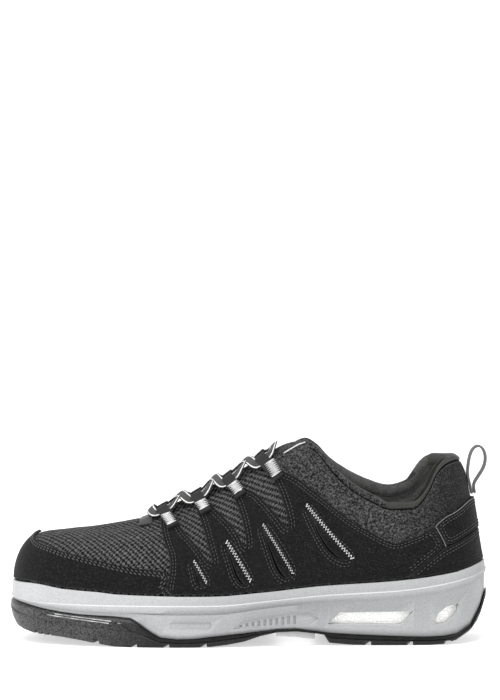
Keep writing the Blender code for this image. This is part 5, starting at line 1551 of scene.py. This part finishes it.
def lace_run(start_seat, start_way, end_seat, end_way, lift=0.0):
    """Path of one run and the way its face points, from eye to eye."""
    start_eye, start_along, start_out = start_seat
    end_eye, end_along, end_out = end_seat
    step_off = LOOP_WIDTH / 2
    start = start_eye + start_along * start_way * step_off
    end = end_eye + end_along * end_way * step_off
    first = start + start_along * start_way * LACE_TURN
    second = end + end_along * end_way * LACE_TURN
    middle = (start + first * 3 + second * 3 + end) / 8
    crown = tongue_top(middle.x, middle.y) + LACE_THICK / 2 + LACE_LIFT + lift
    points, ups = [start_eye.copy()], [start_out.copy()]
    for step in range(LACE_STEPS + 1):
        t = step / LACE_STEPS
        arch = math.sin(math.pi * t) ** ARCH_POWER
        point = start * (1 - t) ** 3 + first * 3 * t * (1 - t) ** 2
        point += second * 3 * t * t * (1 - t) + end * t ** 3
        point.z += (crown - middle.z) * arch
        points.append(point)
        ups.append(
            start_out * max(0.0, 1 - TWIST * t) + end_out * max(0.0, 1 - TWIST * (1 - t)) + LACE_FACE * arch)
    return points + [end_eye.copy()], ups + [end_out.copy()]


def flat_lace(name, runs, width=LACE_WIDTH, thickness=LACE_THICK):
    """Flat lace with rounded edges along some runs, with its length and width as UV map."""
    vertices, faces, uv, lengths = [], [], [], []
    for points, ups in runs:
        base, gone = len(vertices), 0.0
        for index, point in enumerate(points):
            along = points[min(index + 1, len(points) - 1)] - points[max(index - 1, 0)]
            across = along.cross(ups[index]).normalized()
            up = across.cross(along).normalized()
            if index:
                gone += (point - points[index - 1]).length
            for corner in range(SECTION):
                angle = 2 * math.pi * corner / SECTION
                wide = math.copysign(abs(math.cos(angle)) ** SQUARE_EDGE, math.cos(angle))
                vertices.append(point + across * wide * width / 2 + up * math.sin(angle) * thickness / 2)
                uv.append((gone, wide / 2 + 0.5))
        for ring in range(len(points) - 1):
            low = base + ring * SECTION
            for corner in range(SECTION):
                after = (corner + 1) % SECTION
                faces.append((low + corner, low + after, low + SECTION + after, low + SECTION + corner))
        faces.append(tuple(base + corner for corner in range(SECTION))[::-1])
        last = base + (len(points) - 1) * SECTION
        faces.append(tuple(last + corner for corner in range(SECTION)))
        lengths.append(gone)
    print(name, "runs in mm:", [round(1000 * length) for length in lengths])
    piece = from_points(name, [tuple(vertex) for vertex in vertices], faces)
    set_uv(piece, uv)
    in_edit(piece, (bpy.ops.mesh.normals_make_consistent, {"inside": False}))
    return piece


# %% The lace
CROSSING_LIFTS = ((LATERAL, 0.0), (MEDIAL, LACE_THICK * 1.1))

front = flat_lace("lace_front_bar", [lace_run(SEATS[LATERAL, 0], -1, SEATS[MEDIAL, 0], -1)])
done(front, LACE_BRAID, "webbing", "lace_front")
for number in range(3):
    runs = [
        lace_run(SEATS[side, number], 1, SEATS[-side, number + 1], -1, lift)
        for side, lift in CROSSING_LIFTS
    ]
    done(flat_lace(f"lace_cross_{number + 1}", runs), LACE_BRAID, "webbing", f"lace_crossing_{number + 1}")
top_bar = flat_lace("lace_top_bar", [lace_run(SEATS[LATERAL, 3], 1, SEATS[MEDIAL, 3], 1)])
done(top_bar, LACE_BRAID, "webbing", "lace_top")

# %% [markdown]
# At the throat's base the tongue is sewn to the vamp under a short smooth tab. It is a band across the
# ridge, made like the lace but wider, and it hides the point where both edges of the throat meet.

# %% Tab at the throat's base
TAB_TURN = 0.668
TAB_RISES = (0.84, 0.87, 0.90, 0.93, 0.96, 0.985)
TAB_WIDTH, TAB_THICK, TAB_LIFT = 0.0085, 0.0016, 0.0009


def throat_tab():
    """Smooth band over the vamp's ridge in front of the first lace."""
    path, ways = [], []
    for side in (1, -1):
        turns = np.full(len(TAB_RISES), side * TAB_TURN)
        points, normals = on_skin(turns, np.array(TAB_RISES), TAB_LIFT)
        leg = [(Vector(point), Vector(normal)) for point, normal in zip(points, normals)]
        for point, normal in leg if side == 1 else reversed(leg):
            path.append(point)
            ways.append(normal)
    piece = flat_lace("throat_tab", [(path, ways)], TAB_WIDTH, TAB_THICK)
    subdivided(piece, 1)
    done(piece, BINDING, "webbing")


throat_tab()
